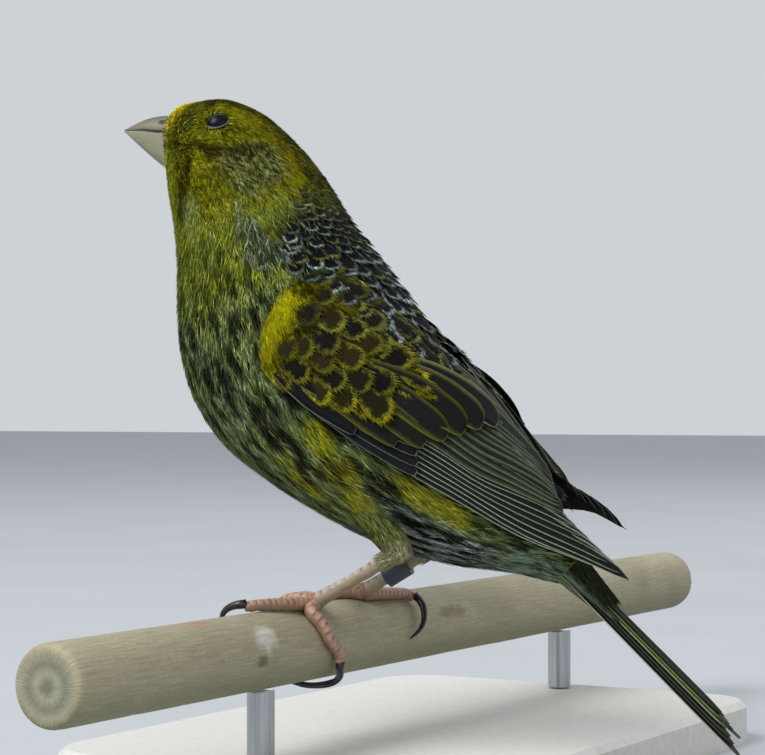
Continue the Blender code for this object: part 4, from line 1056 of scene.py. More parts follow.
def plumes(name, stations, normals, half_width, centre_colour, fringe_colour, roots, barbs, drop=1.0):
    """Feathers along rows of stations: a thin rounded vane at the tip, its edge frayed into loose barbs."""
    count, steps = stations.shape[:2]
    length = np.linalg.norm(np.diff(stations, axis=1), axis=2).sum(1)
    along = unit(np.gradient(stations, axis=1))
    sideways = unit(np.cross(normals, along))
    skew = RNG.normal(0, 0.10, count)

    def lay(x, y, height):
        """Points x across and y along each feather in millimetres, at a height over its rows."""
        t = np.clip(y / length[:, None], 0, 1.15) * (steps - 1)
        first = np.clip(t.astype(int), 0, steps - 2)
        part = (t - first)[..., None]
        rows = np.arange(count)[:, None]
        point = stations[rows, first] * (1 - part) + stations[rows, first + 1] * part
        side = sideways[rows, first] * (1 - part) + sideways[rows, first + 1] * part
        normal = normals[rows, first] * (1 - part) + normals[rows, first + 1] * part
        camber = 0.15 * x**2 / half_width[:, None]
        return point + side * (x + skew[:, None] * y)[..., None] + normal * (height - camber)[..., None], unit(normal)

    wide = half_width[:, None]
    centre = length[:, None] - wide
    reach = np.array([-1.9, -1.3, -0.75, -0.25, 0.2, 0.5, 0.72, 0.85])
    spread = np.array([0.45, 0.70, 0.84, 0.88, 0.83, 0.68, 0.45, 0.16])
    across = np.array([-1.0, -0.6, -0.2, 0.2, 0.6, 1.0])
    rows_count, columns = len(reach), len(across)
    uneven = 1 + RNG.normal(0, 0.05, (count, rows_count, columns))
    x = (wide[..., None] * spread[None, :, None] * across * uneven).reshape(count, -1)
    y = centre + (wide[..., None] * (reach[None, :, None] + 0 * across) * uneven).reshape(count, -1)
    y = np.maximum(y, 0.0)
    top, _ = lay(x, y, 0.05 + 0 * x)
    bottom, _ = lay(x, y, 0 * x)
    vane = np.concatenate([top, bottom], 1)
    vane_faces = repeat_faces(slab_faces(rows_count, columns), count, vane.shape[1])
    own = np.tile(np.stack([x / wide, (y - centre) / wide], -1), (1, 2, 1)).reshape(-1, 2)

    fan = np.radians(np.linspace(-112, 112, barbs)) + RNG.normal(0, 0.09, (count, barbs))
    sweep_x, sweep_y = 0.55 * np.sin(fan), 0.75 + 0.55 * np.cos(fan)
    reach_out = wide * RNG.uniform(0.16, 0.46, (count, barbs)) * (0.75 + 0.35 * np.cos(fan))
    edge_x, edge_y = wide * 0.80 * np.sin(fan), centre + wide * 0.78 * np.cos(fan)
    barb_points = []
    barb_normals = []
    barb_own = []
    for run, height in ((-0.8, 0.055), (0.25, 0.06), (1.0, 0.03)):
        bx, by = edge_x + reach_out * sweep_x * run, edge_y + reach_out * sweep_y * run
        point, normal = lay(bx, by, height + RNG.uniform(-0.015, 0.03, bx.shape))
        barb_points.append(point)
        barb_normals.append(normal)
        barb_own.append(np.stack([bx / wide, (by - centre) / wide], -1))
    barb_stations = np.stack(barb_points, 2).reshape(count * barbs, 3, 3)
    barb_normals = np.stack(barb_normals, 2).reshape(count * barbs, 3, 3)
    barb_own = np.stack(barb_own, 2).reshape(count * barbs, 3, 2)
    widths = np.repeat(half_width * 0.075, barbs)[:, None] * np.array([1.0, 0.9, 0.12])
    widths = widths * RNG.uniform(0.7, 1.3, (count * barbs, 1))
    shape, faces, ring_of = blades(barb_stations, barb_normals, widths)
    points, all_faces = join_shapes([(vane.reshape(-1, 3), vane_faces), (shape, faces)])
    tones = RNG.lognormal(-0.05, 0.24, (count * barbs, 1))
    per_vane = vane.shape[1]
    marks = np.vstack([np.repeat(centre_colour, per_vane, axis=0),
                       np.repeat(np.repeat(centre_colour, barbs, axis=0), len(ring_of), axis=0)])
    edges = np.vstack([np.repeat(fringe_colour, per_vane, axis=0) * 0.8,
                       np.repeat(np.repeat(fringe_colour, barbs, axis=0) * tones, len(ring_of), axis=0)])
    root_u, root_v = roots
    grid_u = (across * 0.5 + 0.5)[None, :].repeat(rows_count, 0).ravel()
    grid_v = np.linspace(0, 1, rows_count)[:, None].repeat(columns, 1).ravel()
    vane_u = root_u[:, None] * 0.994 + 0.003 * np.tile(grid_u, 2)
    vane_v = root_v[:, None] * 0.994 + 0.003 * np.tile(grid_v, 2)
    vane_map = np.stack([vane_u, vane_v], -1).reshape(-1, 2)
    barb_map = patch_map(np.repeat(root_u, barbs), np.repeat(root_v, barbs), ring_of, 3)
    return add_mesh(name, points, all_faces, PLUME, (), marks, np.vstack([vane_map, barb_map]),
                    np.vstack([own, barb_own[:, ring_of].reshape(-1, 2)]) / drop, edges)


def draped(points, normals, reach=9.0):
    """Height of a folded wing's outer surface over body points, or zero where none lies there."""
    heights = np.zeros(len(points))
    for k, (point, normal) in enumerate(zip(points, normals)):
        tree = WING_TREES["left" if point[1] < 0 else "right"]
        hit = tree.ray_cast(Vector(point + normal * reach), Vector(-normal), reach)
        if hit[0] is not None:
            heights[k] = reach - hit[3]
    return heights


def make_mantle():
    """Rows of black-centred, pale-edged feathers down the back and over the wings' upper edges."""
    places = []
    angles = []
    place = 5.3
    row = 0
    while place < 14.3:
        limit = np.interp(place, [5.3, 6.3, 7.0, 7.7, 8.5, 9.06, 10.2, 11.3, 12.5, 14.0],
                          [26, 46, 62, 63, 56, 46, 36, 29, 24, 22])
        step = 10.0
        spots = np.arange(-60, 61) * step + (step / 2 if row % 2 else 0)
        spots = spots[np.abs(spots) <= limit]
        places += [place] * len(spots)
        angles += spots.tolist()
        place += 0.19 + 0.18 * float(smoothstep(6.0, 10.0, place))
        row += 1
    places = np.array(places) + RNG.normal(0, 0.05, len(places))
    angles = np.array(angles) + RNG.normal(0, 1.3, len(angles))
    size = smoothstep(5.2, 10.2, places)
    length = 2.2 + 3.6 * size
    half_width = 0.9 + 1.15 * size
    steps = 6
    points, normals, place_now, _ = on_body(body_points(places, angles % 360))
    stations = [points]
    all_normals = [normals]
    for _ in range(steps - 1):
        direction = flow(stations[-1], all_normals[-1], place_now)
        moved, normal, place_now, _ = on_body(stations[-1] + direction * (length / (steps - 1))[:, None])
        stations.append(moved)
        all_normals.append(normal)
    stations = np.stack(stations, 1)
    all_normals = np.stack(all_normals, 1)
    heights = draped(stations.reshape(-1, 3), all_normals.reshape(-1, 3)).reshape(len(places), steps)
    heights = np.maximum(heights, np.roll(heights, 1, axis=1) * np.array([0, 0.8, 0.8, 0.8, 0.8, 0.8]))
    layer = np.linspace(-0.75, 0.06, steps)[None, :]
    stations = stations + all_normals * (heights + layer + 0.12 * (heights > 0))[..., None]
    count = len(places)
    nape = 1 - smoothstep(5.4, 7.2, places)
    centre = mix(np.tile(srgb(14, 14, 18), (count, 1)), srgb(38, 38, 18), nape) * RNG.uniform(0.8, 1.3, (count, 1))
    front = 1 - smoothstep(6.6, 8.6, places)
    fringe = mix(np.tile(srgb(150, 166, 158), (count, 1)), srgb(112, 124, 108), front)
    fringe = mix(fringe, srgb(92, 94, 32), nape) * RNG.lognormal(0.0, 0.35, (count, 1))
    fringe = mix(fringe, srgb(56, 60, 46), smoothstep(11.8, 12.8, places))
    fringe = np.where((RNG.random(count) < 0.2)[:, None], srgb(116, 116, 60), fringe)
    half_width = half_width * RNG.uniform(0.9, 1.12, count)
    plumes("mantle_feathers", stations, all_normals, half_width, centre, fringe,
           (places / BODY_END, (angles % 360) / 360.0), 34)


# Wings and tail


def vane_shapes(stations, normals, outer, inner, profile, colours, rows, tilt, cells, flip):
    """Closed feather vanes of one size of net; flip is 1 where the outer web lies to the left of the shaft."""
    count = len(stations)
    columns = np.array([-1.0, -0.9, -0.72, -0.35, -0.05, 0.0, 0.05, 0.4, 0.8, 1.0])
    along = unit(np.gradient(stations, axis=1))
    sideways = unit(np.cross(normals, along)) * flip
    width = np.where(columns[None, None, :] < 0, outer[:, None, None], inner[:, None, None])
    x = columns[None, None, :] * width * profile[None, :, None]
    slope = -tilt[:, None, None] * columns[None, None, :]
    rachis = 0.07 * np.exp(-((columns / 0.04) ** 2))[None, None, :]
    camber = -0.10 * columns[None, None, :] ** 2
    height = slope + camber + rachis
    top = stations[:, :, None] + sideways[:, :, None] * x[..., None] + normals[:, :, None] * height[..., None]
    thick = 0.05 + 0.05 * (1 - np.abs(columns))[None, None, :] + 0 * height
    bottom = top - normals[:, :, None] * thick[..., None]
    size = rows * len(columns)
    points = np.concatenate([top.reshape(count, size, 3), bottom.reshape(count, size, 3)], 1)
    faces = repeat_faces(slab_faces(rows, len(columns)), count, 2 * size)
    u = np.tile(columns, (rows, 1)).ravel()
    v = np.linspace(0, 1, rows)[:, None].repeat(len(columns), 1).ravel()
    edge, outer_web, inner_web, shaft, tip = colours
    body = mix(inner_web[:, None], outer_web[:, None], smoothstep(0.05, 0.75, -u)[None, :])
    rim = ((u <= -0.9) | (u >= 0.99))[None, :, None]
    body = np.where(rim, edge[:, None] * np.where(u > 0, 0.75, 1.0)[None, :, None], body)
    body = np.where((np.abs(u) < 0.02)[None, :, None], shaft[:, None], body)
    body = np.where((v > 0.985)[None, :, None], tip[:, None], body)
    under = np.broadcast_to(inner_web[:, None] * 1.15, body.shape)
    body = np.concatenate([body, under], 1)
    cell_u = (cells % 8)[:, None] / 8 + 0.12 * (np.tile(u, 2) * 0.5 + 0.5)[None, :]
    cell_v = (cells // 8)[:, None] / 8 + 0.12 * np.tile(v, 2)[None, :]
    unwrap = np.stack([cell_u, cell_v], -1).reshape(-1, 2)
    run = np.linalg.norm(np.diff(stations, axis=1), axis=2).sum(1)
    own_u = np.tile(x.reshape(count, size), (1, 2))
    own_v = np.tile(v, 2)[None, :] * run[:, None]
    own = np.stack([own_u, own_v], -1).reshape(-1, 2)
    return points.reshape(-1, 3), faces, body.reshape(-1, 3), unwrap, own


ROUND_TIP = ((0.0, 0.7), (0.25, 0.9), (0.6, 1.0), (0.82, 0.97), (0.92, 0.84), (0.97, 0.62), (1.0, 0.25))
POINTED_TIP = ((0.0, 0.8), (0.3, 1.0), (0.7, 0.95), (0.86, 0.8), (0.95, 0.52), (1.0, 0.12))
SQUARE_TIP = ((0.0, 0.6), (0.3, 0.9), (0.7, 1.0), (0.92, 0.98), (0.98, 0.8), (1.0, 0.45))

# Flight feathers of a wing, tier by tier, from the lowest to the uppermost: each row is the place and
# share of the outer edge's start, middle and tip; then outer and inner web widths, height at the root
# and tip over the sheet, tilt and tip shape; the frontmost and the hindmost are given
WING_VANES = {
    "primaries": (8, ((2.2, 0.0), (3.5, 0.015), (5.7, -0.02)), ((2.3, 0.2), (3.5, 0.24), (4.65, 0.44)),
                  0.6, 2.2, 0.15, 0.25, 0.20, POINTED_TIP),
    "secondaries": (8, ((2.3, 0.22), (3.4, 0.25), (4.66, 0.47)), ((2.5, 0.55), (3.4, 0.62), (4.5, 0.78)),
                    0.75, 2.6, 0.72, 0.8, 0.16, ROUND_TIP),
    "tertials": (3, ((2.4, 0.6), (3.3, 0.66), (4.5, 0.72)), ((2.5, 0.82), (3.0, 0.88), (3.8, 0.92)),
                 1.3, 3.0, 1.15, 1.15, 0.2, ROUND_TIP),
    "primary_coverts": (4, ((1.2, 0.0), (2.0, 0.0), (2.87, 0.01)), ((1.25, 0.1), (2.0, 0.12), (2.76, 0.16)),
                        0.6, 1.6, 0.5, 0.9, 0.2, ROUND_TIP),
    "greater_coverts": (6, ((1.3, 0.11), (1.9, 0.10), (2.48, 0.09)), ((2.2, 0.48), (2.8, 0.56), (3.45, 0.62)),
                        1.0, 2.4, 1.05, 1.45, 0.2, ROUND_TIP),
    "alula": (2, ((1.0, 0.03), (1.5, 0.015), (2.08, 0.03)), ((1.0, 0.10), (1.3, 0.10), (1.66, 0.115)),
              0.7, 1.7, 1.1, 1.4, 0.15, ROUND_TIP),
}
TIER_TIPS = {
    "primaries": ((5.62, -0.02), (5.98, -0.02), (5.84, 0.06), (5.55, 0.16), (5.27, 0.26), (5.05, 0.33), (4.86, 0.39),
                  (4.68, 0.45)),
    "greater_coverts": ((2.5, 0.09), (2.78, 0.16), (2.97, 0.26), (3.13, 0.36), (3.27, 0.48), (3.45, 0.61)),
}
VANE_COLOURS = {
    "primaries": ((144, 158, 136), (34, 36, 31), (24, 24, 23), (40, 36, 28), (70, 72, 62)),
    "secondaries": ((98, 108, 80), (60, 66, 50), (30, 32, 28), (36, 35, 28), (84, 90, 72)),
    "tertials": ((112, 120, 96), (36, 37, 31), (24, 24, 23), (38, 36, 30), (120, 126, 104)),
    "primary_coverts": ((96, 106, 98), (28, 29, 30), (20, 20, 22), (32, 31, 29), (120, 128, 118)),
    "greater_coverts": ((88, 88, 26), (58, 58, 18), (20, 20, 19), (26, 25, 17), (96, 98, 44)),
    "alula": ((100, 108, 86), (15, 15, 18), (13, 13, 16), (20, 20, 20), (92, 98, 78)),
}


def tier_paths(name):
    """Places and shares along the outer edge of each feather of a tier."""
    count, front, back = WING_VANES[name][:3]
    across = np.linspace(0, 1, count)[:, None, None]
    control = np.array(front) * (1 - across) + np.array(back) * across
    if name in TIER_TIPS:
        control[:, 2] = np.array(TIER_TIPS[name])
    control[:, 2, 0] -= RNG.uniform(0, 0.05, count)
    return control


def add_wing_vanes(side):
    """Every flight feather and large covert of one wing as closed vanes."""
    shares = np.concatenate([np.linspace(0, 1, 16)[:-1] ** 0.85, [0.966, 0.988, 1.0]])
    rows = len(shares)
    flip = -1.0 if side == "right" else 1.0
    shapes = []
    colours = []
    unwraps = []
    owns = []
    cell = 0
    for name in WING_VANES:
        count, _, _, outer, inner, low, high, tilt, profile = WING_VANES[name]
        control = tier_paths(name)
        t = shares[None, :, None]
        start, middle, end = (control[:, k][:, None] for k in range(3))
        first = (2 * start * (0.5 - t) + 2 * middle * t)
        second = (2 * middle * (1 - t) + 2 * end * (t - 0.5))
        blend = smoothstep(0.3, 0.7, t)
        path = first * (1 - blend) + second * blend
        edge_points, edge_normals = wing_sheet(path[..., 0], path[..., 1], side)
        widths = np.interp(shares, *zip(*profile))
        outers = np.full(count, outer) * RNG.uniform(0.94, 1.06, count)
        inners = np.full(count, inner) * RNG.uniform(0.94, 1.06, count)
        if name == "greater_coverts":
            outers = outers * np.linspace(0.9, 1.3, count)
            inners = inners * np.linspace(0.9, 1.7, count)
        along = unit(np.gradient(edge_points, axis=1))
        inward = unit(np.cross(edge_normals, along)) * flip
        heights = low + (high - low) * shares + 0.05 * np.arange(count)[:, None]
        stations = edge_points + inward * outers[:, None, None] + edge_normals * heights[..., None]
        palette = []
        for levels in VANE_COLOURS[name]:
            tone = RNG.uniform(0.85, 1.15, (count, 1))
            palette.append(np.tile(srgb(*levels), (count, 1)) * tone)
        if name == "greater_coverts":
            black = smoothstep(3.4, 4.8, np.arange(count))
            palette[0] = mix(palette[0], srgb(120, 122, 70), black)
            palette[1] = mix(palette[1], srgb(15, 16, 17), black)
            palette[2] = mix(palette[2], srgb(15, 16, 17), black)
            palette[4] = mix(palette[4], srgb(122, 126, 102), black)
        cells = cell + np.arange(count)
        cell += count
        made = vane_shapes(stations, edge_normals, outers, inners, widths, palette, rows, np.full(count, tilt), cells, flip)
        shapes.append(made[:2])
        colours.append(made[2])
        unwraps.append(made[3])
        owns.append(made[4])
    points, faces = join_shapes(shapes)
    return add_mesh(f"{side}_wing_vanes", points, faces, VANES, (f"{side}_wing",),
                    np.vstack(colours), np.vstack(unwraps), np.vstack(owns))


def wing_colour(place, share, points):
    """Ground colours of a wing's small coverts: a bright yellow bend, then olive, then grey by the back."""
    fine = noise(points, 0.5, 7)
    wobble = 0.24 * (noise(points, 1.3, 8) - 0.5)
    count = len(place)
    colour = mix(np.tile(srgb(58, 56, 10), (count, 1)), srgb(128, 120, 14), smoothstep(0.42, 0.68, fine))
    patch = (1 - smoothstep(0.46, 0.74, place + wobble)) * (1 - smoothstep(0.52, 0.74, share + wobble))
    line = (1 - smoothstep(0.05, 0.11, share)) * (1 - smoothstep(1.1, 1.7, place))
    bright = mix(np.tile(srgb(184, 178, 18), (count, 1)), srgb(226, 216, 30), smoothstep(0.3, 0.6, fine))
    colour = mix(colour, bright, np.maximum(patch, 0.8 * line))
    return mix(colour, srgb(64, 66, 40), smoothstep(0.7, 0.9, share) * 0.8)


def add_wing_core(side):
    """The wing's own flesh under its coverts, filling the space down to the body, darkened as painted shade."""
    steps, across = 36, 20
    places = np.linspace(0.0, 4.0, steps)
    shares = np.linspace(0.03, 0.98, across)
    p, s = np.meshgrid(places, shares, indexing="ij")
    points, normals = wing_sheet(p, s, side)
    end = np.sin(np.pi * np.linspace(0.03, 0.97, steps))[:, None] ** 0.5
    edge = np.sin(np.pi * np.linspace(0.04, 0.96, across))[None, :] ** 0.35
    rise = wing_height(p, s) - 0.75
    top = points + normals * (rise * end * edge)[..., None]
    bottom = points - normals * (3.2 * end * edge)[..., None]
    shape = np.vstack([top.reshape(-1, 3), bottom.reshape(-1, 3)])
    # Painted shade: the ground under the coverts is half its colour, and goes near black where the flight feathers
    # cover it
    colours = wing_colour(p.ravel(), s.ravel(), top.reshape(-1, 3)) * 0.5
    colours = mix(colours, srgb(40, 38, 32), smoothstep(1.6, 2.2, p.ravel()))
    unwrap = np.stack([p.ravel() / 6.2, s.ravel() * 0.45], 1)
    unwrap = np.vstack([unwrap, unwrap + [0.0, 0.5]])
    faces = slab_faces(steps, across)
    return add_mesh(f"{side}_wing_ground", shape, faces, SHADE_DARKENED_SKIN, (), np.vstack([colours, colours]), unwrap)


def add_wing_fluff(side):
    """Fine blades over the wing's bend and between its small coverts."""
    count = 6000
    place = RNG.uniform(0.02, 1.2, count)
    share = RNG.uniform(0.03, 0.97, count)
    bare = (place > 0.95) & (share < 0.14) | (place > 0.75 + 0.6 * RNG.random(count)) & (share > 0.1)
    place, share = place[~bare], share[~bare]
    count = len(place)
    length = RNG.uniform(1.6, 2.8, count)
    steps = 4
    slant = -0.10 * (1 - smoothstep(0.2, 1.2, place)) + RNG.normal(0, 0.03, count)
    stations = []
    all_normals = []
    for k in range(steps):
        run = k / (steps - 1)
        p = place + run * length / 7.5
        s = np.clip(share + run * slant * length / 3.0, 0.0, 1.0)
        point, normal = wing_sheet(p, s, side)
        depth = -0.75 + 0.75 * run**0.6 + RNG.uniform(-0.02, 0.02, count)
        stations.append(point + normal * (wing_height(p, s) + depth)[:, None])
        all_normals.append(normal)
    stations = np.stack(stations, 1)
    all_normals = np.stack(all_normals, 1)
    widths = np.full((count, 1), 0.24) * np.array([0.7, 1.0, 0.8, 0.1]) * RNG.uniform(0.75, 1.25, (count, 1))
    shape, faces, ring_of = blades(stations, all_normals, widths)
    base = wing_colour(place, share, stations[:, 2]) * RNG.lognormal(0.0, 0.22, (count, 1))
    # Painted shade: darker at the roots, under the blades above, and paler at the tips
    tone = np.linspace(0.55, 1.1, steps)[None, :, None]
    colours = (base[:, None] * tone)[:, ring_of].reshape(-1, 3)
    unwrap = patch_map(place / 6.2, share, ring_of, steps)
    add_mesh(f"{side}_wing_down", shape, faces, PLUMAGE, (), colours, unwrap)


# Small coverts seen in the photo: place and share of the dark centre, half width, how yellow the fringe
# is, how black the centre
COVERTS = (
    (0.85, 0.49, 2.0, 0.4, 0.9), (1.25, 0.49, 2.1, 0.5, 1.0), (0.88, 0.21, 1.8, 0.8, 0.4),
    (1.15, 0.2, 1.8, 0.8, 0.9), (0.88, 0.68, 1.9, 0.4, 0.8), (1.42, 0.61, 1.9, 0.5, 1.0),
    (1.92, 0.55, 2.6, 0.7, 1.0), (1.52, 0.27, 1.8, 0.5, 0.9), (1.74, 0.36, 1.8, 0.5, 0.8),
    (1.95, 0.37, 2.1, 0.8, 1.0), (2.3, 0.64, 2.4, 0.7, 1.0), (1.33, 0.36, 2.0, 0.7, 0.3),
    (1.56, 0.43, 2.0, 0.8, 0.3), (2.05, 0.71, 2.2, 0.5, 1.0), (1.44, 0.16, 1.8, 1.0, 0.3),
    (1.66, 0.19, 1.9, 1.0, 0.3), (1.86, 0.25, 2.0, 1.0, 0.4), (2.05, 0.36, 2.1, 1.0, 0.6),
    (2.2, 0.49, 2.3, 1.0, 0.7), (2.42, 0.6, 2.3, 1.0, 0.8), (2.6, 0.74, 2.2, 0.6, 1.0),
    (0.62, 0.84, 1.6, 0.2, 0.8), (1.1, 0.82, 1.9, 0.2, 0.9), (1.5, 0.8, 2.0, 0.2, 0.9), (1.85, 0.86, 2.1, 0.2, 1.0),
    (2.3, 0.86, 2.2, 0.2, 1.0), (1.15, 0.64, 1.9, 0.5, 0.6), (1.62, 0.53, 2.0, 0.7, 0.5), (1.72, 0.68, 2.0, 0.5, 0.8),
    (1.08, 0.35, 1.8, 0.7, 0.5),
)


def add_small_coverts(side):
    """Lesser and median coverts with dark centres and olive-yellow fringes."""
    fill_place, fill_share = np.meshgrid(np.arange(0.55, 2.2, 0.24), np.arange(0.12, 0.95, 0.115), indexing="ij")
    fill_share = fill_share + 0.055 * (np.arange(fill_place.shape[0]) % 2)[:, None]
    fill = np.column_stack([fill_place.ravel(), fill_share.ravel()])
    fill = fill + RNG.normal(0, 0.02, fill.shape)
    fill = fill[(fill[:, 0] > 0.7) | (fill[:, 1] > 0.75)]
    fill = fill[fill[:, 0] < 1.5 + fill[:, 1]]
    count = len(fill)
    fill = np.column_stack([fill, np.full(count, 1.5), RNG.uniform(0.3, 0.8, count), RNG.uniform(0.2, 0.6, count)])
    named = np.array(COVERTS)
    spots = np.vstack([fill, named])
    over = np.concatenate([np.full(count, -0.28), np.zeros(len(named))])
    order = np.argsort(-spots[:, 0])
    spots, over = spots[order], over[order]
    count = len(spots)
    half_width = spots[:, 2] * RNG.uniform(1.05, 1.25, count)
    length = 2.2 + half_width * 1.6
    steps = 6
    stations = []
    all_normals = []
    for k in range(steps):
        run = k / (steps - 1)
        reach = (length * run - (length - half_width * 1.02)) / 7.6
        p = np.maximum(spots[:, 0] + reach, 0.0)
        point, normal = wing_sheet(p, spots[:, 1], side)
        depth = over - 0.95 + 1.15 * run**0.6
        stations.append(point + normal * (wing_height(p, spots[:, 1]) + depth)[:, None])
        all_normals.append(normal)
    stations = np.stack(stations, 1)
    all_normals = np.stack(all_normals, 1)
    centre = mix(np.tile(srgb(42, 38, 12), (count, 1)), srgb(16, 15, 14), spots[:, 4])
    centre = centre * RNG.uniform(0.85, 1.2, (count, 1))
    fringe = mix(np.tile(srgb(80, 84, 46), (count, 1)), srgb(114, 110, 20), spots[:, 3])
    fringe = fringe * RNG.lognormal(0.0, 0.35, (count, 1))
    roots = (spots[:, 0] / 6.2, spots[:, 1])
    plumes(f"{side}_wing_coverts", stations, all_normals, half_width, centre, fringe, roots, 38, drop=0.84)


def add_wing(side):
    """One folded wing."""
    add_wing_core(side)
    add_wing_vanes(side)
    add_wing_fluff(side)
    add_small_coverts(side)


TAIL_COUNT = 12
# Edge, outer web, inner web, shaft and tip of the tail feathers, from the middle pair to the outermost
TAIL_COLOURS = (
    ((58, 60, 44), (24, 24, 24), (20, 20, 22), (40, 38, 30), (60, 62, 50)),
    ((118, 130, 86), (92, 102, 62), (28, 28, 24), (44, 42, 30), (84, 90, 62)),
    ((128, 140, 92), (112, 124, 76), (34, 35, 28), (50, 50, 36), (100, 110, 78)),
    ((72, 78, 58), (34, 36, 32), (22, 22, 24), (38, 38, 32), (70, 74, 60)),
    ((60, 62, 56), (24, 24, 28), (18, 18, 21), (34, 33, 30), (60, 62, 54)),
    ((172, 174, 150), (22, 22, 27), (18, 18, 22), (40, 38, 36), (90, 92, 78)),
)


def add_tail():
    """Twelve tail feathers as closed vanes, spread a little and forked."""
    last = BODY_SECTIONS[-1]
    root = np.array([(last[0] + last[2]) / 2, 0.0, (last[1] + last[3]) / 2])
    tip = np.array([TAIL_TIP[0], 0.0, TAIL_TIP[1]])
    along = unit(tip - root)
    upward = np.array([-along[2], 0.0, along[0]])
    sideways = np.array([0.0, 1.0, 0.0])
    rows = 16
    shares = np.linspace(0, 1, rows) ** 0.8
    shapes = []
    colours = []
    unwraps = []
    owns = []
    for k in range(TAIL_COUNT):
        offset = k - (TAIL_COUNT - 1) / 2
        spread = abs(offset) / ((TAIL_COUNT - 1) / 2)
        length = 35.2 - 6.5 * (1 - spread) ** 0.8 + RNG.uniform(-0.4, 0.2) - 0.35 * max(offset, 0.0)
        across = offset * (0.5 * (1 - shares) + (0.62 if offset > 0 else 0.75) * shares)
        height = 0.85 - abs(offset) * 0.3 + 0.04 * (k % 2)
        run = -2.0 + (length + 2.0) * shares
        points = root + np.outer(run, along) + np.outer(across, sideways) + upward * height
        normals = np.tile(unit(upward + sideways * 0.10 * offset / 5), (rows, 1))
        flip = 1.0 if offset < 0 else -1.0
        widths = np.interp(shares, *zip(*SQUARE_TIP))
        palette = []
        for levels in TAIL_COLOURS[int(abs(offset))]:
            palette.append(srgb(*levels)[None] * RNG.uniform(0.88, 1.12))
        made = vane_shapes(points[None], normals[None], np.array([1.0]), np.array([1.9]), widths, palette, rows,
                           np.array([0.05]), np.array([k]), flip)
        shapes.append(made[:2])
        colours.append(made[2])
        unwraps.append(made[3])
        owns.append(made[4])
    points, faces = join_shapes(shapes)
    add_mesh("tail_vanes", points, faces, VANES, ("tail",), np.vstack(colours),
             np.vstack(unwraps), np.vstack(owns))
    add_tail_coverts(root, along, upward, sideways)


def add_tail_coverts(root, along, upward, sideways):
    """Long soft feathers over and under the tail's root."""
    count = 2600
    turn = RNG.uniform(0, 2 * math.pi, count)
    start = RNG.uniform(-5.0, 4.0, count)
    below = np.cos(turn) < 0.2
    length = np.where(below, RNG.uniform(4.0, 7.5, count), RNG.uniform(3.0, 5.0, count))
    steps = 4
    stations = []
    all_normals = []
    for k in range(steps):
        run = start + length * k / (steps - 1)
        share = np.clip(run / 12.0, -0.5, 1.0)
        half_wide = 3.9 * (1 - share) + 2.4 * share
        half_high = 2.6 * (1 - share) + 1.0 * share
        around = np.outer(np.cos(turn), upward) + np.outer(np.sin(turn), sideways)
        spot = np.cos(turn)[:, None] * half_high[:, None] * upward + np.sin(turn)[:, None] * half_wide[:, None] * sideways
        depth = 0.6 * (1 - k / (steps - 1))
        stations.append(root + run[:, None] * along + spot - around * depth)
        all_normals.append(unit(around))
    stations = np.stack(stations, 1)
    all_normals = np.stack(all_normals, 1)
    widths = np.full((count, 1), 0.3) * np.array([0.8, 1.0, 0.8, 0.1]) * RNG.uniform(0.8, 1.2, (count, 1))
    shape, faces, ring_of = blades(stations, all_normals, widths)
    pale = np.tile(srgb(140, 160, 130), (count, 1))
    dark = mix(np.tile(srgb(26, 27, 24), (count, 1)), srgb(66, 70, 42), RNG.random(count))
    base = mix(dark, pale, smoothstep(0.3, -0.2, np.cos(turn)))
    base = mix(base, srgb(40, 43, 32), (RNG.random(count) < 0.25) * 0.8)
    base = base * RNG.lognormal(0.0, 0.2, (count, 1))
    colours = np.repeat(base[:, None], len(ring_of), axis=1).reshape(-1, 3)
    unwrap = patch_map(np.clip((start + 6) / 12.0, 0, 1), turn / (2 * math.pi), ring_of, steps)
    add_mesh("tail_coverts", shape, faces, PLUMAGE, (), colours, unwrap)


# Eyes, lids and bill


def sphere_patch(centre, normal, long_axis, short_axis, radius, x, y):
    """Points of a ball over flat offsets x and y from its axis."""
    rise = np.sqrt(np.maximum(radius**2 - x**2 - y**2, 0.0))
    return centre + x[..., None] * long_axis + y[..., None] * short_axis + rise[..., None] * normal


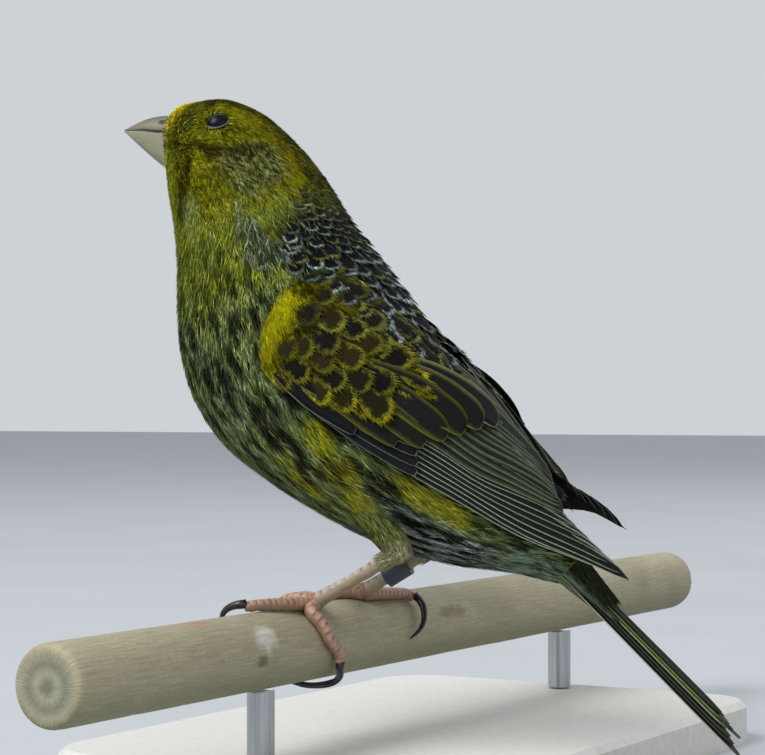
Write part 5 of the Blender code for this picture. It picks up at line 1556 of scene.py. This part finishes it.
def add_eye(side):
    """Glossy eyeball and the lids round its almond opening, with a painted highlight along the upper lid's rim."""
    point, normal, long_axis, short_axis = eye_axes(side)
    centre = point - normal * EYE_DEPTH
    rings = []
    for tilt in np.linspace(0.04, math.pi - 0.04, 30):
        turn = np.arange(44) * 2 * math.pi / 44
        radius = EYE_BALL_RADIUS + 0.06 * math.exp(-((tilt / 0.8) ** 2))
        ring = np.outer(np.cos(turn), long_axis) + np.outer(np.sin(turn), short_axis)
        rings.append(centre + radius * (math.sin(tilt) * ring + math.cos(tilt) * normal))
    shape, faces = loft(rings)
    add_mesh(f"{side}_eyeball", shape, faces, EYE, (f"{side}_eye",))
    turn = np.arange(64) * 2 * math.pi / 64
    almond_x = EYE_LENGTH / 2 * np.cos(turn)
    almond_y = EYE_HEIGHT / 2 * np.sin(turn) * np.abs(np.sin(turn)) ** 0.25
    rings = []
    tones = []
    profile = ((1.0, -0.30, 0.2), (0.98, -0.02, 0.6), (1.0, 0.03, 1.0), (1.04, 0.04, 1.0), (1.09, 0.02, 0.6),
               (1.2, -0.04, 0.1), (1.42, -0.12, 0.0), (1.42, -0.5, 0.0), (1.2, -0.6, 0.0))
    for scale, lift, pale in profile:
        x = almond_x * scale
        y = almond_y * scale
        reach = np.hypot(x, y)
        limit = np.minimum(reach, LID_REACH)
        x, y = x * limit / reach, y * limit / reach
        rings.append(sphere_patch(centre, normal, long_axis, short_axis, LID_RADIUS + lift, x, y))
        tones.append(np.full(64, pale))
    rings = np.array(rings)
    count = len(profile)
    points = rings.reshape(-1, 3)
    i, j = np.meshgrid(np.arange(count), np.arange(64), indexing="ij")
    a = (i * 64 + j).ravel()
    b = (i * 64 + (j + 1) % 64).ravel()
    c = (((i + 1) % count) * 64 + (j + 1) % 64).ravel()
    d = (((i + 1) % count) * 64 + j).ravel()
    faces = [np.stack([a, b, c, d], 1)]
    pale = np.array(tones).ravel()
    lower = np.tile(smoothstep(0.3, -0.5, np.sin(turn)), count)
    front = np.tile(smoothstep(0.2, -0.8, np.cos(turn)), count)
    colours = np.tile(srgb(64, 64, 22), (len(points), 1))
    colours = mix(colours, srgb(16, 15, 20), pale)
    # Painted highlight: a pale blue-grey arc along the upper lid's rim, as light caught there
    upper = np.tile(smoothstep(0.4, 0.95, np.sin(turn)), count)
    colours = mix(colours, srgb(92, 96, 112), pale**2 * upper * 0.7)
    colours = mix(colours, srgb(140, 142, 118), pale**2 * lower * 0.75)
    colours = mix(colours, srgb(150, 134, 50), np.clip(front * lower * (1 - pale) * 0.8, 0, 1))
    add_mesh(f"{side}_eyelids", points, faces, LIDS, (), colours)


def bill_profile(share):
    """Culmen height, gape height, chin height, half width and x along the bill."""
    tip_x, tip_z = BILL_TIP
    x = BILL_BASE_X + (tip_x - BILL_BASE_X) * share
    bow = np.sin(np.pi * np.clip(share, 0, 1))
    culmen, gape, chin = (base + (tip_z - base) * share for base in BILL_BASE_HEIGHTS)
    gape = gape - 0.25 * np.sin(np.pi * np.clip(share * 1.6, 0, 1))
    half_width = BILL_HALF_WIDTH * np.maximum(1 - share, 0.0) ** 0.75
    return x, culmen + 1.0 * bow, gape, chin - 0.4 * bow, half_width


def bill_half(upper):
    """Rings of one half of the bill and its colours."""
    shares = np.concatenate([np.linspace(-0.32, 0.9, 40), [0.94, 0.97, 0.985]])
    sides = 40
    rings = []
    colours = []
    for share in shares:
        x, culmen, gape, chin, half_width = bill_profile(share)
        edge = gape + 0.03 if upper else gape - 0.07
        reach = max(culmen - edge, 0.1) if upper else min(chin - edge, -0.1)
        arc = np.linspace(0, math.pi, 29)
        y = half_width * np.cos(arc)
        z = edge + reach * np.sin(arc) ** 0.9
        cut = np.linspace(-1, 1, sides - 27)[1:-1]
        back_y = half_width * cut * 0.98
        back_z = np.full(len(cut), edge) + (0.22 if upper else -0.22) * (1 - cut**2)
        around_y, around_z = np.concatenate([y, back_y])[:sides], np.concatenate([z, back_z])[:sides]
        ring = np.column_stack([np.full(sides, x), around_y, around_z])
        rings.append(ring)
        height = np.clip((ring[:, 2] - edge) / reach, 0, 1)
        base = np.tile(srgb(106, 102, 84), (sides, 1)) if upper else np.tile(srgb(136, 134, 110), (sides, 1))
        ridge = smoothstep(0.74, 0.97, height)
        if upper:
            base = mix(base, srgb(46, 42, 44), ridge * 0.8)
            base = mix(base, srgb(96, 82, 80), np.full(sides, float(smoothstep(0.25, -0.1, share))) * 0.5)
            base = mix(base, srgb(88, 80, 76), np.full(sides, float(smoothstep(0.8, 1.0, share))) * 0.5)
        else:
            base = mix(base, srgb(108, 96, 78), ridge * 0.5)
            base = mix(base, srgb(92, 78, 68), np.full(sides, float(smoothstep(0.22, -0.05, share))) * 0.6)
        rim = 1 - smoothstep(0.0, 0.09, height)
        base = mix(base, srgb(38, 32, 30), rim * 0.8 * (share > -0.1) * float(1 - smoothstep(0.55, 0.9, share)))
        colours.append(base)
    rings = turn_about_z(np.array(rings), HEAD_TURN, HEAD_AXIS_X)
    return rings, np.array(colours)


NOSTRIL_PLACE = (-25.6, 2.5, 77.9)


def add_bill():
    """Both halves of the bill, with nostrils sunk into the upper one and painted near black as shade in their
    openings.
    """
    for upper in (True, False):
        rings, colours = bill_half(upper)
        if upper:
            for sign in (-1, 1):
                x, y, z = NOSTRIL_PLACE
                spot = turn_about_z(np.array([x, sign * y, z]), HEAD_TURN, HEAD_AXIS_X)
                away = np.linalg.norm((rings - spot) * np.array([0.8, 1.0, 1.3]), axis=2)
                sunk = 1 - smoothstep(0.25, 0.7, away)
                centre = rings.mean(axis=1, keepdims=True)
                rings = rings + (centre - rings) * (sunk * 0.22)[..., None]
                # Painted shade: the sunk nostrils darkened to near black
                colours = mix(colours, srgb(26, 22, 22), sunk * 0.95)
        shape, faces = loft(rings)
        tones = np.vstack([colours.reshape(-1, 3), colours[0].mean(0), colours[-1].mean(0)])
        name = "upper_bill" if upper else "lower_bill"
        add_mesh(name + "_horn", shape, faces, HORN, (name,), tones)


def bill_point(share, turn):
    """Points on the bill's surface at shares along it and turns round it, 0 at the top, in the turned head."""
    x, culmen, gape, chin, half_width = bill_profile(share)
    rise = np.abs(np.cos(turn)) ** 0.9
    z = np.where(np.cos(turn) > 0, gape + (culmen - gape) * rise, gape + (chin - gape) * rise)
    return turn_about_z(np.stack([x, half_width * np.sin(turn), z], -1), HEAD_TURN, HEAD_AXIS_X)


def add_bristles():
    """Small feathers that reach from the head over the bill's base and lie flat on it."""
    turns = np.linspace(0, 2 * math.pi, 73)
    shares = np.linspace(-0.2, 0.6, 60)
    exits = np.zeros(len(turns))
    for k, turn in enumerate(turns):
        points = bill_point(shares, np.full(len(shares), turn))
        found, normals, _, _ = on_body(points)
        outside = ((points - found) * normals).sum(1) > 0
        exits[k] = shares[np.argmax(outside)]
    count = 2600
    turn = RNG.uniform(0, 2 * math.pi, count)
    back = RNG.random(count) ** 1.2
    exit_share = np.interp(turn, turns, exits)
    rim = bill_point(exit_share, turn)
    outward = unit(rim - bill_point(exit_share, turn + math.pi))
    base, normals, place, angle = on_body(rim + outward * (0.05 + 1.6 * back)[:, None])
    side = np.abs(np.sin(turn))
    reach = RNG.uniform(0.2, 1.1, count) * (0.55 + 0.6 * side * smoothstep(0.6, 0.0, np.abs(np.cos(turn))))
    reach = reach * (1 - 0.5 * back) / abs(BILL_TIP[0] - BILL_BASE_X)
    drift = RNG.normal(0, 0.16, count)
    steps = 4
    stations = []
    for k in range(steps):
        run = k / (steps - 1)
        on_bill = bill_point(exit_share + reach * run - 0.01, turn + drift * run)
        out = unit(on_bill - bill_point(exit_share + reach * run - 0.01, turn + drift * run + math.pi))
        laid = on_bill + out * (0.20 - 0.16 * run)
        risen = base + normals * (0.30 * math.sin(math.pi * 0.7 * run) - 0.05)
        share = smoothstep(0.0, 0.75, run)
        stations.append(risen * (1 - share) + laid * share)
    stations = np.stack(stations, 1)
    all_normals = np.repeat(unit(outward + 0.8 * normals)[:, None], steps, 1)
    widths = np.full((count, 1), 0.12) * np.array([1.0, 1.0, 0.8, 0.1]) * RNG.uniform(0.7, 1.3, (count, 1))
    shape, faces, ring_of = blades(stations, all_normals, widths)
    below = smoothstep(0.3, 0.8, -np.cos(turn))
    base_colour = body_colour(base, place, angle)
    beside = (RNG.random(count) < 0.35) * smoothstep(0.75, 0.3, np.cos(turn)) * (1 - below)
    base_colour = mix(base_colour, srgb(104, 100, 62), beside * 0.8)
    base_colour = mix(base_colour, srgb(34, 32, 24), (RNG.random(count) < 0.28) * 0.85)
    # Painted shade: darker at the roots, under the blades above, and paler at the tips, on top of a random tone
    tone = RNG.lognormal(0.0, 0.25, (count, 1, 1)) * np.linspace(0.7, 1.15, steps)[None, :, None]
    colours = (base_colour[:, None] * tone)[:, ring_of].reshape(-1, 3)
    unwrap = patch_map(0.05 + 0.1 * back, turn / (2 * math.pi), ring_of, steps)
    add_mesh("bill_bristles", shape, faces, PLUMAGE, (), colours, unwrap)


# Legs, feet and claws, with their places on the perch as in the CAD source

LEG_PARTS = {
    "left": {
        "thigh": ((8.6, -7.5, 22.0), (12.8, -8.8, 17.0), (14.9, -9.3, 13.9)),
        "hub": (-7.8, -26.0),
        "outer": ((-11.3, -20.0), (-15.3, -11.0), (-18.4, 0.0), (-20.2, 11.0)),
        "outer_claw": ((-20.6, 16.0), (-21.0, 37.0), (-20.4, 58.0)),
        "middle": ((-7.8, 5.0), (-7.4, 36.0), (-6.8, 66.0), (-6.0, 96.0)),
        "middle_claw": ((-5.8, 103.0), (-4.8, 135.0), (-2.8, 168.0), (0.4, 196.0)),
        "inner": ((-5.6, 0.0), (-3.8, 30.0), (-3.0, 58.0), (-2.6, 84.0)),
        "inner_claw": ((-2.5, 91.0), (-2.4, 116.0), (-2.2, 138.0)),
        "hallux": ((-11.0, -38.0), (-10.5, -60.0), (-9.4, -82.0), (-6.9, -100.0), (-6.6, -112.0)),
        "hallux_claw": ((-6.2, -119.0), (-4.6, -137.0), (-5.0, -158.0), (-8.2, -182.0)),
    },
    "right": {
        "thigh": ((8.6, 7.5, 22.0), (12.8, 7.8, 17.0), (14.9, 8.0, 13.9)),
        "hub": (7.5, -18.0),
        "outer": ((10.5, 5.0), (13.0, 30.0), (15.2, 55.0), (16.4, 80.0)),
        "outer_claw": ((16.7, 87.0), (17.4, 110.0), (17.2, 132.0)),
        "middle": ((8.0, 8.0), (8.4, 38.0), (8.8, 68.0), (9.2, 96.0)),
        "middle_claw": ((9.3, 103.0), (9.8, 130.0), (9.6, 154.0)),
        "inner": ((5.4, 4.0), (3.4, 32.0), (2.2, 60.0), (1.6, 84.0)),
        "inner_claw": ((1.5, 91.0), (1.2, 114.0), (1.4, 136.0)),
        "hallux": ((11.5, -23.0), (15.2, -27.0), (18.2, -31.0), (19.2, -40.0)),
        "hallux_claw": ((19.4, -47.0), (18.6, -64.0), (17.2, -84.0), (14.8, -100.0)),
    },
}
TOES = ("outer", "middle", "inner", "hallux")


def tube_rings(path, radii, sides, up_hint):
    """Rings round a path, the first point of each facing up_hint, with the frame of each ring."""
    path = np.asarray(path, float)
    along = unit(np.gradient(path, axis=0))
    hint = up_hint - along * (up_hint * along).sum(1)[:, None]
    top = unit(hint)
    side = np.cross(along, top)
    turn = np.arange(sides) * 2 * math.pi / sides
    offset = np.cos(turn)[None, :, None] * top[:, None] + np.sin(turn)[None, :, None] * side[:, None]
    return path[:, None] + offset * np.asarray(radii, float)[:, :, None], turn


def scaled_limb(path, radii, up_hint, scute, pads, dark, pale):
    """A limb with overlapping scutes over its top and soft pads beneath, and its colours, with painted shade on each
    scute and in the grooves between.
    """
    sides = 24
    run = np.concatenate([[0], np.cumsum(np.linalg.norm(np.diff(path, axis=0), axis=1))])
    turn = np.arange(sides) * 2 * math.pi / sides
    phase = (run[:, None] / scute + 0.06 * np.cos(turn * 3)[None]) % 1.0
    over = smoothstep(-0.15, 0.5, np.cos(turn))[None]
    scutes = (phase**0.6 - 0.5) * 0.16 * over
    pad = np.abs(np.sin(run * math.pi / pads))[:, None] ** 0.5 * 0.14 * smoothstep(0.2, 0.9, -np.cos(turn))[None]
    size = np.asarray(radii)[:, None] * (1 + scutes * 0.6) + pad
    rings, _ = tube_rings(path, size, sides, up_hint)
    # Painted shade: each scute runs from dark where it tucks under the one before to pale at its raised edge, darker
    # still in the groove
    top_tone = mix(np.tile(srgb(*dark), (len(path) * sides, 1)), srgb(*pale), (phase * over).ravel())
    painted_groove_shade = ((phase < 0.14) * over).ravel()
    tone = mix(top_tone, srgb(88, 64, 54), painted_groove_shade * 0.75)
    under = (smoothstep(0.0, 0.8, -np.cos(turn))[None] + 0 * phase).ravel()
    tone = mix(tone, srgb(132, 116, 84), under * 0.7)
    return rings, tone


def add_leg(side):
    """Feathered thigh, scaled foot and four curved claws of one leg."""
    parts = LEG_PARTS[side]
    heel = np.array(parts["thigh"][-1])
    hub = around_perch(*parts["hub"], PERCH_RADIUS + GAP + 1.25)
    down = unit(hub - heel)
    direction, front = perch_axes()
    shapes = []
    tones = []
    shares = np.linspace(0, 1, 44)
    top = heel - down * 1.5
    path = top + np.outer(shares, hub - top)
    radii = np.interp(shares * 3, range(4), (1.35, 0.95, 0.86, 1.15))
    rings, tone = scaled_limb(path, radii, np.tile(front, (len(path), 1)), 1.5, 3.0, (142, 128, 110), (176, 168, 152))
    shapes.append(loft(rings))
    tones.append(np.vstack([tone, tone[:1], tone[-1:]]))
    turn = np.linspace(0.05, math.pi - 0.05, 14)
    ball = [hub + 1.28 * (math.sin(t) * (np.outer(np.cos(np.arange(24) * math.pi / 12), direction)
                                        + np.outer(np.sin(np.arange(24) * math.pi / 12), front)) + math.cos(t) * UP)
            for t in turn]
    ball_shape = loft(ball)
    shapes.append(ball_shape)
    tones.append(np.tile(srgb(134, 98, 80), (len(ball_shape[0]), 1)))
    claws = []
    for toe in TOES:
        places = [parts["hub"]] + list(parts[toe])
        count = 60
        read = smooth_rows(places, np.linspace(0, len(places) - 1, count))
        radii = np.linspace(0.98, 0.72, count)
        radii = radii * (1 - 0.25 * smoothstep(0.93, 1.0, np.linspace(0, 1, count)))
        path = around_perch(read[:, 0], read[:, 1], PERCH_RADIUS + 0.12 + radii)
        outward = around_perch(0 * read[:, 0], read[:, 1], 1.0)
        rings, tone = scaled_limb(path, radii, outward, 1.05, 1.9, (146, 108, 88), (180, 148, 126))
        shapes.append(loft(rings))
        tones.append(np.vstack([tone, tone[:1], tone[-1:]]))
        steps = 22
        read = smooth_rows(parts[toe + "_claw"], np.linspace(0, len(parts[toe + "_claw"]) - 1, steps))
        start = smooth_rows(places, [len(places) - 1.12])[0]
        read = np.vstack([start, read])
        share = np.linspace(0, 1, len(read))
        radii = 0.6 * (1 - share) ** 0.55 + 0.05
        arch = 0.5 * np.sin(np.pi * share) + 0.3 * (1 - share)
        path = around_perch(read[:, 0], read[:, 1], PERCH_RADIUS + GAP + radii + arch)
        outward = around_perch(0 * read[:, 0], read[:, 1], 1.0)
        size = np.repeat(radii[:, None], 14, 1)
        rings, turn_round = tube_rings(path, size, 14, outward)
        shape, faces = loft(rings)
        add_mesh(f"{side}_{toe}_claw_horn", shape, faces, CLAW, (f"{side}_{toe}_claw",))
    points, faces = join_shapes(shapes)
    add_mesh(f"{side}_foot_scales", points, faces, LEG, (f"{side}_foot",), np.vstack(tones))
    add_thigh(side, heel, down)


def add_thigh(side, heel, down):
    """The thigh's skin and its soft pale feathers down to the top of the bare leg."""
    path = smooth_rows(LEG_PARTS[side]["thigh"], np.linspace(0, 2, 12))
    path = np.vstack([path, heel + down * 0.8, heel + down * 1.6])
    radii = np.concatenate([np.linspace(3.1, 1.55, 12), [1.3, 1.0]])
    hint = np.tile(np.array([0.0, 1.0, 0.0]), (len(path), 1))
    rings, _ = tube_rings(path, np.repeat(radii[:, None], 20, 1), 20, hint)
    shape, faces = loft(rings)
    # The skin material darkens this colour further, as painted shade under the thigh feathers
    colours = np.tile(srgb(120, 116, 80), (len(shape), 1))
    unwrap = np.stack([np.linspace(0, 1, len(shape)), np.linspace(0, 1, len(shape)) % 0.05 * 20], 1) * 0.99
    add_mesh(f"{side}_thigh_skin", shape, faces, SHADE_DARKENED_SKIN, (f"{side}_thigh",), colours, unwrap)
    count = 2600
    spot = RNG.uniform(0, 1, count) ** 0.8
    turn = RNG.uniform(0, 2 * math.pi, count)
    sample = np.linspace(0, 1, len(path))
    along = unit(np.gradient(path, axis=0))
    top = unit(hint - along * (hint * along).sum(1)[:, None])
    beside = np.cross(along, top)
    steps = 4
    length = RNG.uniform(1.6, 2.8, count)
    total = np.linalg.norm(np.diff(path, axis=0), axis=1).sum()
    stations = []
    all_normals = []
    for k in range(steps):
        reach = spot + length * k / (steps - 1) / total
        centre = np.stack([np.interp(reach, sample, path[:, j]) for j in range(3)], 1)
        over = np.maximum(reach - 1.0, 0)[:, None] * total
        centre = centre + down * over
        normal = np.stack([np.interp(reach, sample, top[:, j]) for j in range(3)], 1) * np.cos(turn)[:, None]
        normal = normal + np.stack([np.interp(reach, sample, beside[:, j]) for j in range(3)], 1) * np.sin(turn)[:, None]
        normal = unit(normal)
        radius = np.interp(reach, sample, radii) + 0.1 + 0.35 * k / (steps - 1)
        stations.append(centre + normal * radius[:, None])
        all_normals.append(normal)
    stations = np.stack(stations, 1)
    all_normals = np.stack(all_normals, 1)
    widths = np.full((count, 1), 0.2) * np.array([0.8, 1.0, 0.7, 0.1]) * RNG.uniform(0.7, 1.3, (count, 1))
    shape, faces, ring_of = blades(stations, all_normals, widths)
    low = smoothstep(0.35, 0.9, spot)
    base = mix(np.tile(srgb(122, 130, 66), (count, 1)), srgb(178, 174, 134), low)
    base = mix(base, srgb(36, 36, 28), (RNG.random(count) < 0.3) * (1 - 0.6 * low) * 0.8)
    base = base * RNG.lognormal(0.0, 0.2, (count, 1))
    colours = np.repeat(base[:, None], len(ring_of), axis=1).reshape(-1, 3)
    unwrap = patch_map(spot, turn / (2 * math.pi), ring_of, steps)
    add_mesh(f"{side}_thigh_coat", shape, faces, PLUMAGE, (), colours, unwrap)


# Perch and stand

# Stains on the dowel: distance along, angle round, size along, size round, colour
STAINS = (
    (-29.0, 50.0, 2.2, 14.0, (186, 92, 70), 0.6),
    (-45.0, 45.0, 2.0, 12.0, (184, 98, 72), 0.55),
    (-36.0, -10.0, 3.0, 16.0, (190, 110, 84), 0.45),
    (-24.0, -60.0, 3.0, 26.0, (214, 212, 200), 0.7),
    (-26.0, -95.0, 1.6, 10.0, (70, 62, 50), 0.7),
    (2.0, 20.0, 1.2, 8.0, (74, 62, 48), 0.6),
    (30.0, -70.0, 5.0, 12.0, (96, 82, 64), 0.5),
)


def add_perch():
    """The cut dowel, a little uneven, with worn ends, stains, end grain and painted shade along its underside."""
    sides = 96
    cuts = np.array([0.0, 0.12, 0.35, 0.7, 1.2])
    inner = np.linspace(PERCH_NEAR_END + 2.0, PERCH_FAR_END - 2.0, 180)
    along = np.concatenate([PERCH_NEAR_END + cuts, inner, (PERCH_FAR_END - cuts)[::-1]])
    worn = np.concatenate([[0.75, 0.5, 0.25, 0.1, 0.02], np.zeros(180), [0.02, 0.1, 0.25, 0.5, 0.75]])
    turn = np.arange(sides) * 360.0 / sides
    p, a = np.meshgrid(along, turn, indexing="ij")
    flat = around_perch(p, a, PERCH_RADIUS)
    rough = noise(flat.reshape(-1, 3) * np.array([1.0, 0.3, 1.0]), 3.0, 11).reshape(p.shape)
    dents = smoothstep(0.72, 0.95, noise(flat.reshape(-1, 3), 2.2, 12).reshape(p.shape))
    radius = PERCH_RADIUS - 0.04 - worn[:, None] - 0.10 * rough - 0.10 * dents
    rings = around_perch(p, a, radius)
    caps = []
    end_tone = []
    for end, sign in ((PERCH_NEAR_END, 1), (PERCH_FAR_END, -1)):
        for share in (0.85, 0.6, 0.35, 0.12):
            ring = around_perch(end + 0 * turn, turn, (PERCH_RADIUS - 0.8) * share)
            sunk = 0.15 * noise(ring, 1.5, 13) * sign
            caps.append(ring + sunk[:, None] * perch_axes()[0])
            end_tone.append(np.full(sides, share))
    rings = np.concatenate([np.array(caps[:4])[::-1], rings, np.array(caps[4:])])
    shape, faces = loft(rings)
    wood = np.tile(srgb(158, 150, 124), (len(along) * sides, 1))
    # Painted shade: darker and greyer-green towards the underside
    under = smoothstep(0.1, -0.8, np.cos(np.radians(a))).ravel()
    wood = mix(wood, srgb(118, 120, 90), under * 0.7)
    blotch = smoothstep(0.5, 0.8, noise(flat.reshape(-1, 3), 7.0, 14))
    wood = mix(wood, srgb(138, 130, 102), blotch * 0.5)
    front_angle = a.ravel()
    for spot_along, spot_angle, size_along, size_round, colour, amount in STAINS:
        away = (front_angle - spot_angle + 180) % 360 - 180
        wobble = 0.5 * noise(flat.reshape(-1, 3), 1.1, 15) - 0.25
        reach = np.sqrt(((p.ravel() - spot_along) / size_along) ** 2 + (away / size_round) ** 2) + wobble
        wood = mix(wood, srgb(*colour), (1 - smoothstep(0.5, 1.1, reach)) * amount)
    end_wood = np.tile(srgb(148, 146, 124), (4 * sides, 1))
    ring_lines = 0.8 + 0.2 * np.sin(np.repeat([0.12, 0.35, 0.6, 0.85], sides) * 40)
    near_end = end_wood * ring_lines[:, None]
    tones = np.vstack([near_end, wood, near_end[::-1], srgb(120, 116, 94), srgb(120, 116, 94)])
    length_map = np.concatenate([np.repeat(PERCH_NEAR_END - np.array([5, 4, 2.5, 1.2]), sides), p.ravel(),
                                 np.repeat(PERCH_FAR_END + np.array([1.2, 2.5, 4, 5]), sides), [0, 0]])
    round_map = np.concatenate([np.tile(turn, 4), a.ravel(), np.tile(turn, 4), [0, 0]])
    triangle = np.abs((round_map / 180.0) % 2 - 1) * PERCH_RADIUS * 3.0
    own = np.stack([length_map, triangle], 1)
    add_mesh("perch_wood", shape, faces, WOOD, ("perch",), tones, None, own)


def dress_nodes():
    """Procedural materials for the CAD nodes that stay as they are."""
    base = plain_material("stand_paint", (206, 204, 198), 0.55, 1.4, 0.92, 1.06, 0.25)
    metal = plain_material("stand_brushed", (176, 178, 182), 0.34, 0.5, 0.8, 1.15, 0.15, metallic=1.0,
                           stretch=(1.0, 1.0, 0.06))
    ring = plain_material("ring_matte", (34, 44, 56), 0.4, 0.6, 0.8, 1.3, 0.1)
    for name, finish in (("stand_base", base), ("stand_rod_1", metal), ("stand_rod_2", metal), ("leg_ring", ring)):
        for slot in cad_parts[name].material_slots:
            slot.material = finish


def add_lights():
    """Pale floor, even studio light and the photo's camera."""
    scene = bpy.context.scene
    scene.view_settings.view_transform = "Standard"
    floor_mesh = bpy.data.meshes.new("floor")
    floor_mesh.from_pydata([(-3, -3, 0), (3, -3, 0), (3, 3, 0), (-3, 3, 0)], [], [(0, 1, 2, 3)])
    floor = bpy.data.objects.new("floor", floor_mesh)
    floor_mesh.materials.append(plain_material("floor_pale", (176, 180, 184), 0.85, 60.0, 0.97, 1.03, 0.0))
    scene.collection.objects.link(floor)
    world = bpy.data.worlds.new("studio")
    world.use_nodes = True
    world.node_tree.nodes["Background"].inputs["Color"].default_value = (0.88, 0.92, 0.96, 1.0)
    world.node_tree.nodes["Background"].inputs["Strength"].default_value = 0.7
    scene.world = world
    for name, place, power, size in (
        ("key", (-0.45, -0.75, 0.95), 15.0, 0.7),
        ("fill", (0.75, -0.7, 0.45), 1.2, 0.8),
        ("back", (0.2, 0.8, 0.9), 3.0, 0.8),
    ):
        light = bpy.data.lights.new(name, "AREA")
        light.energy = power
        light.size = size
        lamp = bpy.data.objects.new(name, light)
        lamp.location = place
        aim = Vector((0.0, 0.0, 0.06)) - Vector(place)
        lamp.rotation_mode = "QUATERNION"
        lamp.rotation_quaternion = aim.to_track_quat("-Z", "Y")
        scene.collection.objects.link(lamp)
    camera_data = bpy.data.cameras.new("photo_camera")
    camera_data.sensor_width = 36.0
    camera_data.lens = 2347.0 / 765.0 * 36.0
    camera_data.clip_start = 0.01
    camera_data.clip_end = 20.0
    camera = bpy.data.objects.new("photo_camera", camera_data)
    turn, pitch = math.radians(20.0), math.radians(0.4)
    forward = Vector((-math.sin(turn) * math.cos(pitch), math.cos(turn) * math.cos(pitch), math.sin(pitch)))
    right = Vector((math.cos(turn), math.sin(turn), 0.0))
    over = right.cross(forward)
    turned = Matrix((right, over, -forward)).transposed().to_4x4()
    turned.translation = Vector((127.9, -326.9, 36.6 + LIFT)) * MM
    camera.matrix_world = turned
    scene.collection.objects.link(camera)
    scene.camera = camera


add_lights()
dress_nodes()
make_skin()
make_coat()
make_mantle()
add_wing("left")
add_wing("right")
add_tail()
add_eye("left")
add_eye("right")
add_bill()
add_bristles()
add_leg("left")
add_leg("right")
add_perch()
